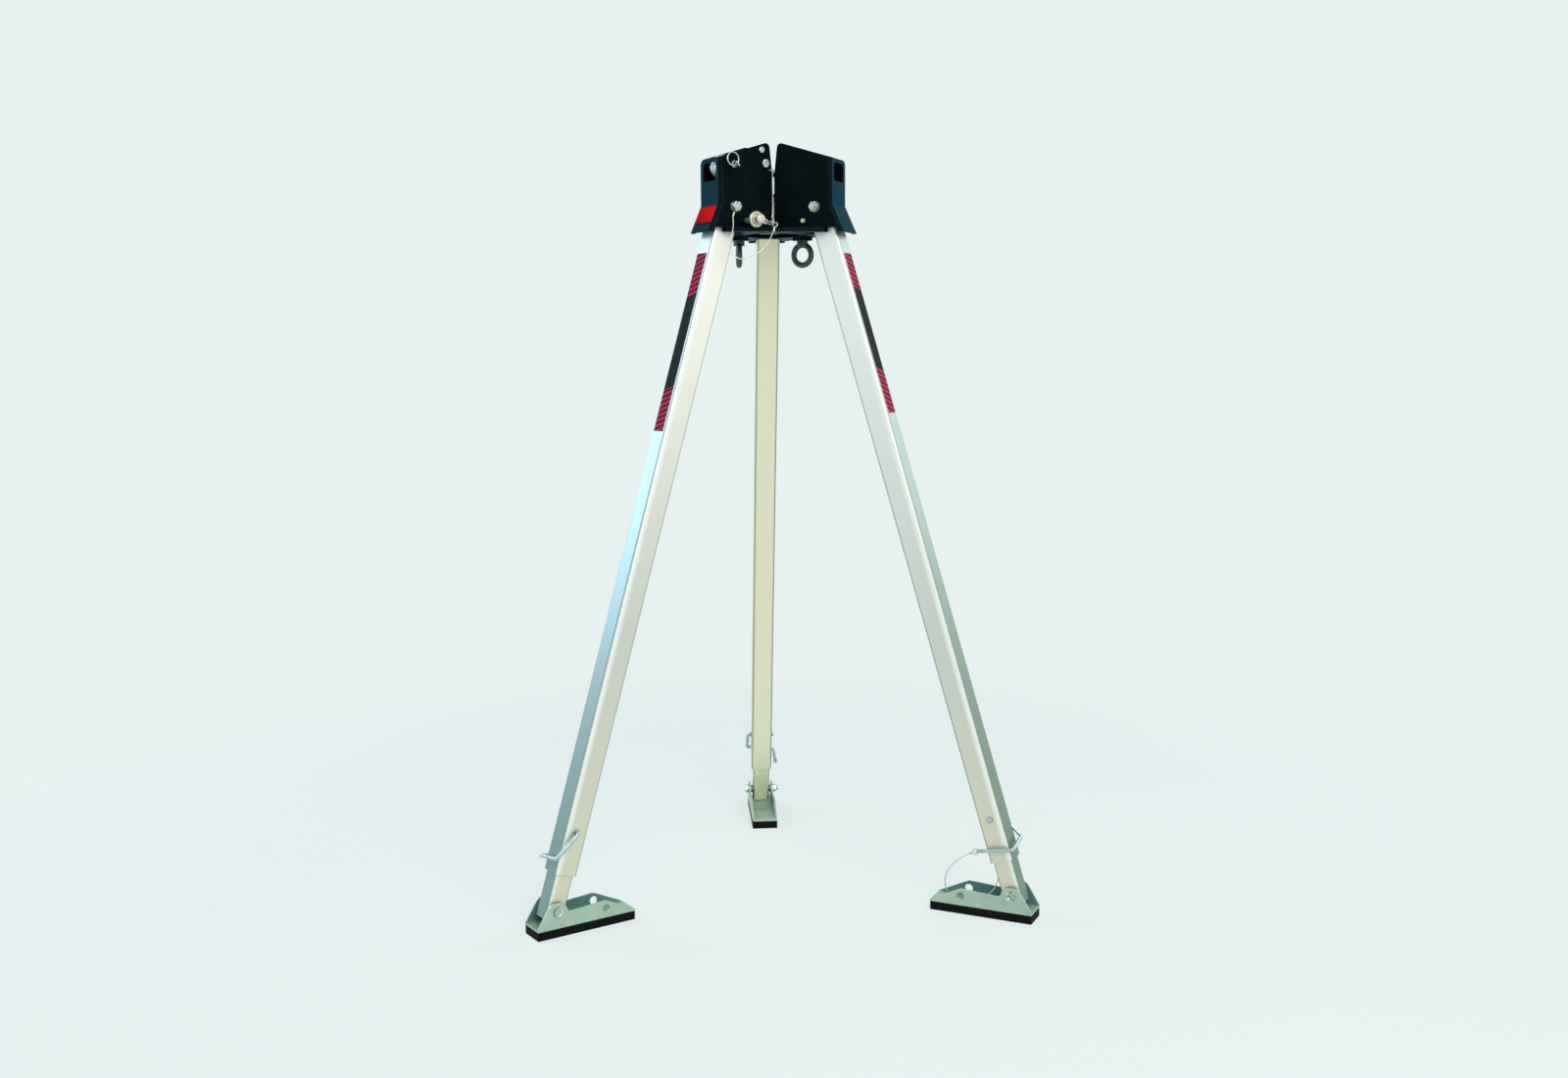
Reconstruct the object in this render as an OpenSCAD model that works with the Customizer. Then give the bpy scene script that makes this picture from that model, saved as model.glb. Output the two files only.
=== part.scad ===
// Folding rescue tripod: a plate-steel head on three telescopic aluminium legs,
// each with a hinged rubber-soled foot. Millimetres, +Z up, standing on z = 0.
// The rear leg lies towards +Y; the left and right legs are a third of a turn either side.

/* [Stance] */
// Lean of each leg from upright, in degrees
leg_angle = 17; // [14:0.5:19]
// Pivot bolt to foot bolt along the leg, at the shortest setting
leg_reach = 1456; // [1300:1:1600]
// Pivot bolts out from the centre line of the head
pivot_r = 117; // [105:0.5:130]
// Foot bolts above the floor
foot_bolt_h = 52; // [46:0.5:60]

/* [Head brackets] */
// Outside width of a bracket
bracket_w = 80; // [76:0.5:90]
// Thickness of the folded bracket plate
plate_t = 5; // [4:0.5:6]
// Gap between the outer face of a leg, at its pivot bolt, and the bracket's web
web_gap = 4; // [3:0.5:6]
// How far the skirt flares out from the web at its lower edge
skirt_flare = 26; // [18:0.5:30]
// Lower edge of the skirt below the pivot bolts
skirt_drop = 51; // [46:0.5:58]
// Lock pins above the lower edge of the cheeks
lock_up = 15.1; // [13:0.1:18]
// Fold line where the skirt starts, above the pivot bolts
skirt_fold_h = 5; // [3:0.5:10]
// Top of the web above the pivot bolts
web_top = 97; // [94:0.5:110]
// Top inner corner of the cheeks above the pivot bolts
cheek_top = 134; // [130:0.5:140]
// Gap left where the cheeks of two brackets meet, along the bracket
cheek_gap = 1.9; // [1:0.1:4]
// How far the cheeks lean back at their top inner corner
cheek_lean = 8; // [4:0.5:10]
// Inside radius of the two folds
fold_r = 3; // [2:0.5:4]
// Radius of the shoulder where the web's top meets a rounded side
web_corner = 20; // [14:0.5:24]
// Width of the rope window in the web
window_w = 48; // [40:1:52]
// Height of the rope window
window_h = 37; // [30:1:40]
// Strip of web above the window
window_strip = 8; // [7:0.5:12]

/* [Base plate] */
// Thickness of the base plate
base_t = 8; // [6:0.5:10]
// Straight edges of the base plate in from the lock pins' knobs
knob_gap = 4.6; // [3:0.1:8]
// Plate left between the rope opening and the centres of the eye nuts
eye_land = 20; // [16:0.5:26]
// Eye nuts in from the circle of the pivot bolts
eye_in = 39; // [34:0.5:44]
// Mid-line radius of an eye nut's ring
eye_ring_r = 21; // [20:0.5:24]
// Half thickness of an eye nut's ring
eye_bar_r = 6; // [5:0.5:7]
// Turn of the left eye nut on its bolt, in degrees
eye_turn_left = 0; // [-90:5:90]
// Turn of the right eye nut on its bolt, in degrees
eye_turn_right = 55; // [-90:5:90]

/* [Legs] */
// Side of the outer tube
tube_w = 50; // [46:0.5:52]
// Wall of the outer tube
tube_wall = 4; // [3:0.5:5]
// Outside corner radius of the outer tube
tube_corner = 6; // [5:0.5:8]
// Outer tube above the pivot bolt
tube_top = 36; // [30:1:42]
// Lower end of the outer tube above the foot bolt
tube_end = 72; // [68:1:90]
// Wall of the inner tube
inner_wall = 3; // [2:0.5:4]
// Gap between the lower end of the inner tube and the foot's plate
foot_gap = 5; // [4:0.5:8]
// Gap all round between the two tubes
slide_gap = 0.5; // [0.4:0.1:1]
// Spacing of the height holes
hole_pitch = 95; // [80:1:100]
// Number of height settings above the shortest
hole_steps = 6; // [4:1:6]
// Length of inner tube kept inside the outer one at full height
kept_inside = 180; // [120:5:260]

/* [Pins and bolts] */
// Diameter of the leg pivot bolts
pivot_d = 12; // [10:1:14]
// Diameter of the head lock pins
lock_d = 10; // [8:0.5:12]
// Gap between a lock pin and the leg that it traps
lock_gap = 3; // [2.5:0.5:4]
// Lock pins along the leg from the pivot bolt
lock_along = 18; // [14:0.5:22]
// Neck of a lock pin between the cheek and its knob
lock_neck = 33; // [28:1:38]
// Diameter of a lock pin's knob
knob_d = 32; // [28:1:36]
// Travel of a lock pin's push button
button_travel = 4; // [3:0.5:4.5]
// Diameter of the height pins
height_pin_d = 12; // [10:0.5:13]
// Height pins above the foot bolt
height_pin_at = 160; // [150:1:180]
// Wire diameter of a height pin's keeper
keeper_wire_d = 8; // [6:0.5:9]
// Diameter of the foot bolts
foot_bolt_d = 10; // [8:1:12]

/* [Pulleys] */
// Gap between the outer pulley and the web
pulley_gap = 4; // [3:0.5:8]
// Outer pulley's pin below the top of the web
outer_pulley_down = 14; // [10:0.5:20]
// Inner pulley's axle out from the inner edge of the cheeks
inner_pulley_in = 19; // [16:0.5:24]
// Inner pulley's axle below the top inner corner of the cheeks
inner_pulley_down = 44; // [40:0.5:50]
// Diameter of the pulleys
pulley_d = 46; // [40:1:47]
// Width of the pulleys
pulley_w = 24; // [18:1:30]
// Diameter of the rope that the grooves fit
rope_d = 11; // [8:0.5:12]
// Diameter of the pulley axles
axle_d = 10; // [9:1:12]
// Diameter of the rope keeper bolt
keeper_d = 7; // [6:1:9]
// Gap between the rope keeper bolt and the pulley's rim
keeper_gap = 1.5; // [1:0.5:3]

/* [Feet] */
// Outside width of a foot
foot_w = 60; // [58:0.5:70]
// Foot outwards of its bolt
foot_out = 44; // [42:0.5:50]
// Foot inwards of its bolt
foot_in = 173; // [160:1:190]
// Thickness of the foot's steel plate
foot_t = 4; // [3:0.5:5]
// Thickness of the rubber pad
pad_t = 18; // [14:0.5:18]
// Radius of the hole in each side of the foot
chain_hole_r = 8.5; // [7:0.5:9]
// That hole inwards of the foot bolt
chain_hole_at = 107; // [100:1:112]
// Centre of that hole below the foot bolt
chain_hole_drop = 15; // [14:0.5:16]

/* [Lanyards] */
// Diameter of the coated steel cable
cable_d = 2.5; // [2:0.1:3]

/* [Hidden] */
$fn = 48;
LEG_AZ = [210, 330, 90];
EYE_AZ = [150, 30];
EYE_TURN = [eye_turn_left, eye_turn_right];

// Clearances: turning fits, sliding pins through plates, washers and free flat faces
run_fit = 0.1;
pin_fit = 0.3;
face_gap = 0.3;
washer_t = 2.5;
eyelet_t = 1.6;
eyelet_r = 10;
ferrule_r = 2.6;
ferrule_len = 10;
cable_eye_r = 6;
ring_eye_r = 5;
cable_hole_r = 2.4;

// Where things stand, worked out from the sizes above
pivot_z = foot_bolt_h + leg_reach * cos(leg_angle);
foot_r = pivot_r + leg_reach * sin(leg_angle);
reach_out = foot_r + foot_out;
head_y = -(reach_out / 2 - foot_w / 2 * cos(30)) / 2;
inner_w = tube_w - 2 * tube_wall - 2 * slide_gap;
foot_floor = foot_bolt_h - pad_t - foot_t;
inner_end = (foot_floor - foot_gap - inner_w / 2 * sin(leg_angle)) / cos(leg_angle);
tube_bottom = leg_reach - tube_end;
height_pin_s = leg_reach - height_pin_at;
inner_top = tube_bottom - hole_pitch * hole_steps - kept_inside;
cheek_half = bracket_w / 2;
cheek_inside = cheek_half - plate_t;
cheek_in_r = cheek_half / tan(60) + cheek_gap;
web_r = pivot_r + tube_w / 2 / cos(leg_angle) + web_gap + plate_t;
skirt_r = web_r + skirt_flare;
skirt_angle = atan2(skirt_r - web_r, skirt_fold_h + skirt_drop);
fold_out_r = fold_r + plate_t;
lock_off = tube_w / 2 + lock_gap + lock_d / 2;
lock_r = pivot_r - lock_off * cos(leg_angle) + lock_along * sin(leg_angle);
lock_z = -lock_off * sin(leg_angle) - lock_along * cos(leg_angle);
cheek_drop = lock_up - lock_z;
knob_y = cheek_half + lock_neck;
base_edge = lock_r * cos(60) + knob_y * sin(60) - knob_gap;
eye_r = pivot_r - eye_in;
base_hole_r = eye_r - eye_land;
outer_pulley_r = web_r - plate_t - pulley_gap - pulley_d / 2;
outer_pulley_h = web_top - outer_pulley_down;
inner_pulley_r = cheek_in_r + inner_pulley_in;
inner_pulley_h = cheek_top - inner_pulley_down;
top_slope = (cheek_top - web_top) / (web_r - cheek_in_r - cheek_lean);
keeper_off = pulley_d / 2 + keeper_gap + keeper_d / 2;
keeper_turn = 71;
drop_h = 0.58 * cheek_top;
drop_edge = cheek_in_r + cheek_lean * (drop_h * 2 / cheek_top - 1) + 1;
keeper_r = inner_pulley_r + keeper_off * cos(keeper_turn);
keeper_h = inner_pulley_h + keeper_off * sin(keeper_turn);
slot_r = pivot_r - tube_w / 2 - 4;
slot_half = tube_w / 2 + 4;
foot_inside = foot_w / 2 - foot_t;

// Frames: a bracket's own (X out, Y anticlockwise, Z up, pivot height at 0),
// a leg's own (-Z down the leg from the pivot bolt, X its outer face) and a foot's own
module at_head() { translate([0, head_y, pivot_z]) children(); }
module at_bracket(k) { at_head() rotate([0, 0, LEG_AZ[k]]) children(); }
module at_leg(k) { at_bracket(k) translate([pivot_r, 0, 0]) rotate([0, -leg_angle, 0]) children(); }
module at_foot(k) { at_leg(k) translate([0, 0, -leg_reach]) rotate([0, leg_angle, 0]) children(); }
module at_lock(k) { at_bracket(k) translate([lock_r, 0, lock_z]) children(); }

// A rod along Y, and a flat outline in X and Z given thickness along Y
module rod_y(r, y0, y1) { translate([0, y0, 0]) rotate([-90, 0, 0]) cylinder(r = r, h = y1 - y0); }
module slab_y(y0, y1) { translate([0, y1, 0]) rotate([90, 0, 0]) linear_extrude(y1 - y0) children(); }
module turned_y(y0) { translate([0, y0, 0]) rotate([-90, 0, 0]) rotate_extrude() children(); }
module hex_y(flats, y0, y1) {
    translate([0, y0, 0]) rotate([-90, 0, 0]) cylinder(r = flats / 2 / cos(30), h = y1 - y0, $fn = 6);
}
module washer_y(r_in, r_out, y0, y1) {
    difference() {
        rod_y(r_out, y0, y1);
        rod_y(r_in, y0 - 1, y1 + 1);
    }
}
module torus(ring_r, bar_r) { rotate_extrude() translate([ring_r, 0]) circle(bar_r, $fn = 24); }

module round_rect(w, h, r) {
    square([w - 2 * r, h], center = true);
    square([w, h - 2 * r], center = true);
    for (sx = [-1, 1], sy = [-1, 1])
        translate([sx * (w / 2 - r), sy * (h / 2 - r)]) circle(r);
}
module box_tube(w, wall, r, z0, z1) {
    translate([0, 0, z0]) linear_extrude(z1 - z0) difference() {
        round_rect(w, w, r);
        round_rect(w - 2 * wall, w - 2 * wall, r - wall / 2);
    }
}

// An outline's corners rounded, each by its own radius
function unit(v) = v / norm(v);
function corner_arc(a, p, b, r, n) =
    let (u = unit(a - p), w = unit(b - p), half = acos(u * w) / 2,
         c = p + unit(u + w) * r / sin(half), p0 = p + u * r / tan(half), p1 = p + w * r / tan(half),
         a0 = atan2(p0.y - c.y, p0.x - c.x), a1 = atan2(p1.y - c.y, p1.x - c.x),
         turn = (a1 - a0 + 540) % 360 - 180)
    [for (i = [0:n]) c + r * [cos(a0 + turn * i / n), sin(a0 + turn * i / n)]];
function rounded(pts, radii, n = 8) =
    let (m = len(pts))
    [for (i = [0:m - 1]) each radii[i] == 0 ? [pts[i]]
        : corner_arc(pts[(i + m - 1) % m], pts[i], pts[(i + 1) % m], radii[i], n)];

// A bar swept along points: its ends are square and its corners can be rounded first
function frame_from(x, z) = let (y = cross(z, x))
    [[x.x, y.x, z.x, 0], [x.y, y.y, z.y, 0], [x.z, y.z, z.z, 0], [0, 0, 0, 1]];
function side_of(d) = unit(cross(d, abs(d.z) < 0.9 ? [0, 0, 1] : [1, 0, 0]));
function bend_arc(a, p, b, r, n) =
    let (u = unit(a - p), w = unit(b - p), half = acos(u * w) / 2, c = p + unit(u + w) * r / sin(half),
         e1 = unit(p + u * r / tan(half) - c), e2 = cross(unit(cross(w, u)), e1), turn = 180 - 2 * half)
    [for (i = [0:n]) c + r * (cos(turn * i / n) * e1 + sin(turn * i / n) * e2)];
function bent(p, r, n = 6) =
    [p[0], for (i = [1:len(p) - 2]) each bend_arc(p[i - 1], p[i], p[i + 1], r, n), p[len(p) - 1]];
function step_dir(p, i) = unit(p[i + 1] - p[i]);
function route_dir(p, i) = i == 0 ? step_dir(p, 0) : i == len(p) - 1 ? step_dir(p, i - 1)
    : unit(step_dir(p, i - 1) + step_dir(p, i));
function route_side(p, i) = i == 0 ? side_of(route_dir(p, 0))
    : let (s = route_side(p, i - 1), d = route_dir(p, i)) unit(s - d * (s * d));
module swept(p, r, n) {
    rings = [for (i = [0:len(p) - 1]) let (d = route_dir(p, i), s = route_side(p, i), t = cross(d, s))
        each [for (j = [0:n - 1]) p[i] + r * (cos(j * 360 / n) * s + sin(j * 360 / n) * t)]];
    sides = [for (i = [0:len(p) - 2], j = [0:n - 1]) let (a = i * n + j, b = i * n + (j + 1) % n)
        each [[a, a + n, b], [b, a + n, b + n]]];
    last = (len(p) - 1) * n;
    ends = [for (j = [1:n - 2]) each [[0, j, j + 1], [last, last + j + 1, last + j]]];
    polyhedron(rings, concat(sides, ends), convexity = 6);
}

// Cable fittings: a crimped ferrule standing on a point, and the small closed eye of a cable end
module aimed(p, d) { translate(p) multmatrix(frame_from(side_of(d), unit(d))) children(); }
module ferrule(p, d) { aimed(p, d) cylinder(r = ferrule_r, h = ferrule_len); }
module cable_eye(p, axis, r) { aimed(p, axis) torus(r, cable_d / 2); }
// A cable's points, each a share of the way between its two ends plus its own offset
function route(a, b, rows) = [for (w = rows) a * (1 - w[0]) + b * w[0] + [w[1], w[2], w[3]]];

// Head bracket: one folded plate, a web with a rope window and a flared skirt, and two cheeks.
// The blank is the folded plate run long at both ends: the same section above the skirt's fold
// line, at the fold's mitre and below it. The bracket's outline, window and holes are then cut
module folded_blank() {
    n = 6;
    run = web_r;
    half = cheek_half;
    mid = half - fold_out_r;
    section = concat([[run, -half]],
        [for (i = [0:n]) let (a = 90 * i / n) [fold_out_r * (1 - sin(a)), -mid - fold_out_r * cos(a)]],
        [for (i = [0:n]) let (a = 90 * i / n) [fold_out_r * (1 - cos(a)), mid + fold_out_r * sin(a)]],
        [[run, half], [run, cheek_inside]],
        [for (i = [n:-1:0]) let (a = 90 * i / n) [fold_out_r - fold_r * cos(a), mid + fold_r * sin(a)]],
        [for (i = [n:-1:0]) let (a = 90 * i / n) [fold_out_r - fold_r * sin(a), -mid - fold_r * cos(a)]],
        [[run, -cheek_inside]]);
    m = len(section);
    mitre = [for (q = section) [web_r - q.x, q.y, skirt_fold_h - q.x * tan(skirt_angle / 2)]];
    low = [for (q = mitre) let (drop = q.z + skirt_drop + 10) q + [drop * tan(skirt_angle), 0, -drop]];
    high = [for (q = mitre) [q.x, q.y, cheek_top + 10]];
    sides = [for (k = [0, m], i = [0:m - 1]) let (a = k + i, b = k + (i + 1) % m)
        each [[a, a + m, b], [b, a + m, b + m]]];
    under = [for (i = [0:m / 2 - 2]) each [[i, i + 1, m - 2 - i], [i, m - 2 - i, m - 1 - i]]];
    over = [for (f = under) [2 * m + f[2], 2 * m + f[1], 2 * m + f[0]]];
    polyhedron(concat(low, mitre, high), concat(sides, under, over), convexity = 6);
}
module cheek_holes(k) {
    through = cheek_half + 1;
    translate([pivot_r, 0, 0]) rod_y(pivot_d / 2 + run_fit, -through, through);
    translate([lock_r, 0, lock_z]) rod_y(lock_d / 2 + run_fit, -through, through);
    if (k == 0) {
        translate([outer_pulley_r, 0, outer_pulley_h]) rod_y(axle_d / 2 + run_fit, -through, through);
        translate([inner_pulley_r, 0, inner_pulley_h]) rod_y(axle_d / 2 + run_fit, -through, through);
        translate([keeper_r, 0, keeper_h]) rod_y(keeper_d / 2 + run_fit, -through, through);
        translate([drop_edge + cable_eye_r, 0, drop_h]) rod_y(cable_hole_r, 0, through);
    }
}
// The part of a square that lies outside a rounded corner, and the rounded sides of each bracket:
// 0 for the side that its bolt heads are on, 1 for the other
module outside_corner(r) {
    difference() {
        square(r + 5);
        circle(r);
    }
}
SHOULDERS = [[1], [0], [0, 1]];
module bracket(k) {
    past = 60;
    edge_sweep = 60;
    skirt_back = web_r + (skirt_fold_h + cheek_drop) * tan(skirt_angle) - fold_out_r;
    outline = rounded([[cheek_in_r, -cheek_drop], [skirt_back, -cheek_drop], [skirt_back, -skirt_drop],
        [web_r + past, -skirt_drop], [web_r + past, web_top - top_slope * past],
        [cheek_in_r + cheek_lean, cheek_top], [cheek_in_r, cheek_top / 2]], [2, 0, 0, 0, 0, 9, edge_sweep]);
    shoulder = corner_arc([web_r, 0], [web_r, web_top], [cheek_in_r + cheek_lean, cheek_top], web_corner, 8);
    above = [[shoulder[8].x, web_top + past], [web_r + past, web_top + past], [web_r + past, shoulder[0].y]];
    window_round = web_corner - window_strip;
    window_at = [window_w / 2 - window_round, window_h / 2 - window_round];
    color([0.07, 0.075, 0.085]) at_bracket(k) difference() {
        intersection() {
            folded_blank();
            slab_y(-cheek_half - 1, cheek_half + 1) polygon(outline);
        }
        for (side = SHOULDERS[k]) mirror([0, side, 0]) {
            translate([web_r - fold_out_r, cheek_half - web_corner, web_top - web_corner])
                rotate([90, 0, 90]) linear_extrude(2 * fold_out_r) outside_corner(web_corner);
            slab_y(cheek_half - fold_out_r, cheek_half + 1) polygon(concat(shoulder, above));
        }
        translate([web_r - 2 * plate_t, 0, web_top - window_strip - window_h / 2])
            rotate([90, 0, 90]) linear_extrude(3 * plate_t) difference() {
                round_rect(window_w, window_h, 6);
                for (side = SHOULDERS[k]) mirror([side, 0]) translate(window_at) outside_corner(window_round);
            }
        cheek_holes(k);
    }
}

// Base plate under the cheeks: straight sides between the brackets, open in the middle for the
// ropes and notched so that each leg can fold inwards
module base_plate() {
    edge_half = base_edge * tan(60);
    color([0.07, 0.075, 0.085]) at_head() translate([0, 0, -cheek_drop - base_t]) difference() {
        linear_extrude(base_t) difference() {
            intersection() {
                polygon([for (a = LEG_AZ) 2 * base_edge * [cos(a), sin(a)]]);
                circle(r = norm([base_edge, edge_half * 0.55]), $fn = 96);
            }
            circle(base_hole_r, $fn = 96);
            for (a = LEG_AZ) rotate(a) translate([slot_r, -slot_half]) square([2 * base_edge, 2 * slot_half]);
        }
        for (a = EYE_AZ) rotate(a) translate([eye_r, 0, -1])
            cylinder(d = pivot_d + 2 * run_fit, h = base_t + 2);
    }
}

// Leg pivot bolts with their washers and nuts; the left bolt also holds the lanyard's eyelet
head_seat = cheek_half + washer_t;
pivot_flats = 1.5 * pivot_d;
nut_h = 0.8 * pivot_d;
function pivot_seat(k) = head_seat + (k == 0 ? eyelet_t : 0);
module pivot_bolts() {
    color("silver") for (k = [0:2]) at_bracket(k) translate([pivot_r, 0, 0]) {
        rod_y(pivot_d / 2, -head_seat - nut_h - 3, pivot_seat(k) + 1);
        hex_y(pivot_flats, pivot_seat(k), pivot_seat(k) + 0.63 * pivot_d);
    }
}
module pivot_nuts() {
    color("silver") for (k = [0:2]) at_bracket(k) translate([pivot_r, 0, 0]) difference() {
        hex_y(pivot_flats, -head_seat - nut_h, -head_seat);
        rod_y(pivot_d / 2, -head_seat - nut_h - 1, 0);
    }
}
module pivot_washers() {
    color("silver") for (k = [0:2], s = [0, 1]) at_bracket(k) translate([pivot_r, 0, 0]) mirror([0, s, 0])
        washer_y(pivot_d / 2 + run_fit, 0.9 * pivot_d, cheek_half, head_seat);
}

// Forged eye nuts under the base plate, each on a bolt through the plate and a square pad
pad_h = 7;
pad_side = 2.5 * pivot_d;
collar_h = 11;
eye_top = -cheek_drop - base_t - pad_h;
eye_mid = eye_top - collar_h - eye_ring_r + 2;
stud_in = 12;
module at_eye(i) { at_head() rotate([0, 0, EYE_AZ[i]]) translate([eye_r, 0, 0]) children(); }
module eye_nut(i) {
    color([0.25, 0.29, 0.29]) at_eye(i) difference() {
        union() {
            translate([0, 0, eye_mid]) rotate([0, 90, EYE_TURN[i] - EYE_AZ[i]]) torus(eye_ring_r, eye_bar_r);
            translate([0, 0, eye_top - collar_h]) cylinder(r = pivot_d / 2 + 6, h = collar_h);
        }
        translate([0, 0, eye_top - stud_in]) cylinder(d = pivot_d, h = stud_in + 1);
    }
}
module eye_bolts() {
    color("silver") for (i = [0, 1]) at_eye(i) {
        translate([0, 0, eye_top - stud_in + 1]) cylinder(d = pivot_d, h = stud_in + pad_h + base_t);
        translate([0, 0, -cheek_drop]) cylinder(r = pivot_flats / 2 / cos(30), h = 0.63 * pivot_d, $fn = 6);
    }
}
module eye_pads() {
    color([0.07, 0.075, 0.085]) for (i = [0, 1]) at_eye(i) translate([0, 0, eye_top]) difference() {
        translate([-pad_side / 2, -pad_side / 2, 0]) cube([pad_side, pad_side, pad_h]);
        translate([0, 0, -1]) cylinder(d = pivot_d + 2 * run_fit, h = pad_h + 2);
    }
}

// Two rope pulleys inside the left bracket: the outer one on a quick pin, the inner on a bolt
module at_outer_pulley() { at_bracket(0) translate([outer_pulley_r, 0, outer_pulley_h]) children(); }
module at_inner_pulley() { at_bracket(0) translate([inner_pulley_r, 0, inner_pulley_h]) children(); }
module pulley() {
    groove_r = pulley_d / 2 + rope_d / 6;
    half = pulley_w / 2;
    turned_y(0) difference() {
        translate([axle_d / 2 + run_fit, -half]) square([pulley_d / 2 - axle_d / 2 - run_fit, pulley_w]);
        translate([groove_r, 0]) circle(rope_d / 2 + 1, $fn = 32);
        for (s = [-1, 1]) translate([pulley_d / 4 + 3, s * half]) square([7, 4], center = true);
    }
}
module outer_pulley() { color("gainsboro") at_outer_pulley() pulley(); }
module inner_pulley() { color("gainsboro") at_inner_pulley() pulley(); }
module spacer_pair() {
    for (s = [0, 1]) mirror([0, s, 0])
        washer_y(axle_d / 2 + run_fit, axle_d / 2 + 3, pulley_w / 2 + face_gap, cheek_inside);
}
module pulley_spacers() {
    color("silver") {
        at_outer_pulley() spacer_pair();
        at_inner_pulley() spacer_pair();
    }
}
module inner_axle_bolt() {
    color("silver") at_inner_pulley() {
        rod_y(axle_d / 2, -cheek_half - nut_h - 2, cheek_half + 1);
        hex_y(1.5 * axle_d, cheek_half, cheek_half + 7);
    }
}
module rope_keeper_bolt() {
    color("silver") at_bracket(0) translate([keeper_r, 0, keeper_h]) {
        rod_y(keeper_d / 2, -cheek_half - nut_h, cheek_half + 1);
        hex_y(1.6 * keeper_d, cheek_half, cheek_half + 5);
    }
}
module pulley_bolt_nuts() {
    color("silver") {
        at_inner_pulley() difference() {
            hex_y(1.5 * axle_d, -cheek_half - nut_h, -cheek_half);
            rod_y(axle_d / 2, -cheek_half - nut_h - 1, 0);
        }
        at_bracket(0) translate([keeper_r, 0, keeper_h]) difference() {
            hex_y(1.6 * keeper_d, -cheek_half - 6, -cheek_half);
            rod_y(keeper_d / 2, -cheek_half - 7, 0);
        }
    }
}

// Quick pin of the outer pulley: a turned head with a flat tab that carries a pull ring
tab_y = cheek_half + 14;
tab_t = 3;
pull_ring_r = 13;
pull_wire_r = 1.3;
pull_turn = -45;
module pulley_pin() {
    head_r = axle_d / 2 + 2.5;
    color("silver") at_outer_pulley() rotate([0, pull_turn, 0]) difference() {
        union() {
            rod_y(axle_d / 2, -cheek_half - 7, cheek_half + 1);
            turned_y(-cheek_half - 10) polygon([[0, 0], [axle_d / 2 - 2, 0], [axle_d / 2, 3], [0, 3]]);
            turned_y(cheek_half + face_gap)
                polygon([[0, 0], [head_r, 0], [head_r, 6], [head_r - 1.5, 8], [0, 8]]);
            translate([-tab_t * 2, cheek_half + 7, -tab_t / 2]) cube([tab_t * 4, 11, tab_t]);
        }
        translate([0, tab_y, -tab_t]) cylinder(r = pull_wire_r + 0.7, h = 2 * tab_t);
    }
}
module pull_ring() {
    color("silver") at_outer_pulley() rotate([0, pull_turn, 0]) translate([pull_ring_r, tab_y, 0])
        rotate([90, 0, 0]) torus(pull_ring_r, pull_wire_r);
}

// Outer leg tube, hung on the pivot bolt by a sleeve pressed through it
sleeve_r = pivot_d / 2 + 3;
module outer_leg(k) {
    color([0.80, 0.80, 0.75]) at_leg(k) difference() {
        box_tube(tube_w, tube_wall, tube_corner, -tube_bottom, tube_top);
        rod_y(sleeve_r, -tube_w, tube_w);
        translate([0, 0, -height_pin_s]) rod_y(height_pin_d / 2 + run_fit, -tube_w, tube_w);
    }
}
module pivot_sleeve(k) {
    end = cheek_inside - face_gap;
    color("silver") at_leg(k) washer_y(pivot_d / 2 + run_fit, sleeve_r, -end, end);
}

// Inner leg tube with its row of height holes, guided at the top by a plastic plug
module inner_leg(k) {
    color([0.83, 0.81, 0.72]) at_leg(k) difference() {
        box_tube(inner_w, inner_wall, tube_corner - 1, -leg_reach - inner_end, -inner_top);
        translate([0, 0, -leg_reach]) rod_y(foot_bolt_d / 2 + run_fit, -tube_w, tube_w);
        for (i = [0:hole_steps]) translate([0, 0, -height_pin_s + i * hole_pitch])
            rod_y(height_pin_d / 2 + pin_fit, -tube_w, tube_w);
    }
}
module leg_glide(k) {
    glide_w = tube_w - 2 * tube_wall - 0.4;
    plug_w = inner_w - 2 * inner_wall - 0.2;
    plug_corner = tube_corner - 1 - inner_wall / 2 + 0.1;
    color("dimgray") at_leg(k) translate([0, 0, -inner_top + run_fit]) difference() {
        union() {
            linear_extrude(10) round_rect(glide_w, glide_w, tube_corner - tube_wall / 2 + 0.2);
            translate([0, 0, -20]) linear_extrude(21) round_rect(plug_w, plug_w, plug_corner);
        }
        translate([0, 0, -21]) cylinder(d = plug_w - 8, h = 40);
    }
}

// Height pin: a plain pin through both tubes, its wire keeper bent round the outer face of the leg
keeper_side = tube_w / 2 + 5 + keeper_wire_d / 2;
keeper_front = tube_w / 2 + 5 + keeper_wire_d / 2;
keeper_drop = 56;
keeper_bend = 10;
keeper_tip = [-tube_w / 2 - 14, -keeper_side, -keeper_drop];
tip_t = 4;
module height_pin(k) {
    corner = [keeper_front, -keeper_side, -keeper_drop - keeper_bend];
    path = [[0, tube_w / 2 + 2, 0], [0, keeper_side, 0], [keeper_front, keeper_side, -keeper_drop], corner,
        keeper_tip + 4 * unit(corner - keeper_tip)];
    color("silver") at_leg(k) translate([0, 0, -height_pin_s]) difference() {
        union() {
            rod_y(height_pin_d / 2, -tube_w / 2 - 3, tube_w / 2 + 2.5);
            turned_y(-tube_w / 2 - 6)
                polygon([[0, 0], [height_pin_d / 2 - 3, 0], [height_pin_d / 2, 3], [0, 3]]);
            swept(bent(path, keeper_wire_d / 2 + 1), keeper_wire_d / 2, 16);
            translate(keeper_tip - [0, 0, tip_t / 2]) cylinder(r = 5.5, h = tip_t);
        }
        translate(keeper_tip - [0, 0, tip_t]) cylinder(r = cable_hole_r, h = 2 * tip_t, $fn = 24);
    }
}

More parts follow.
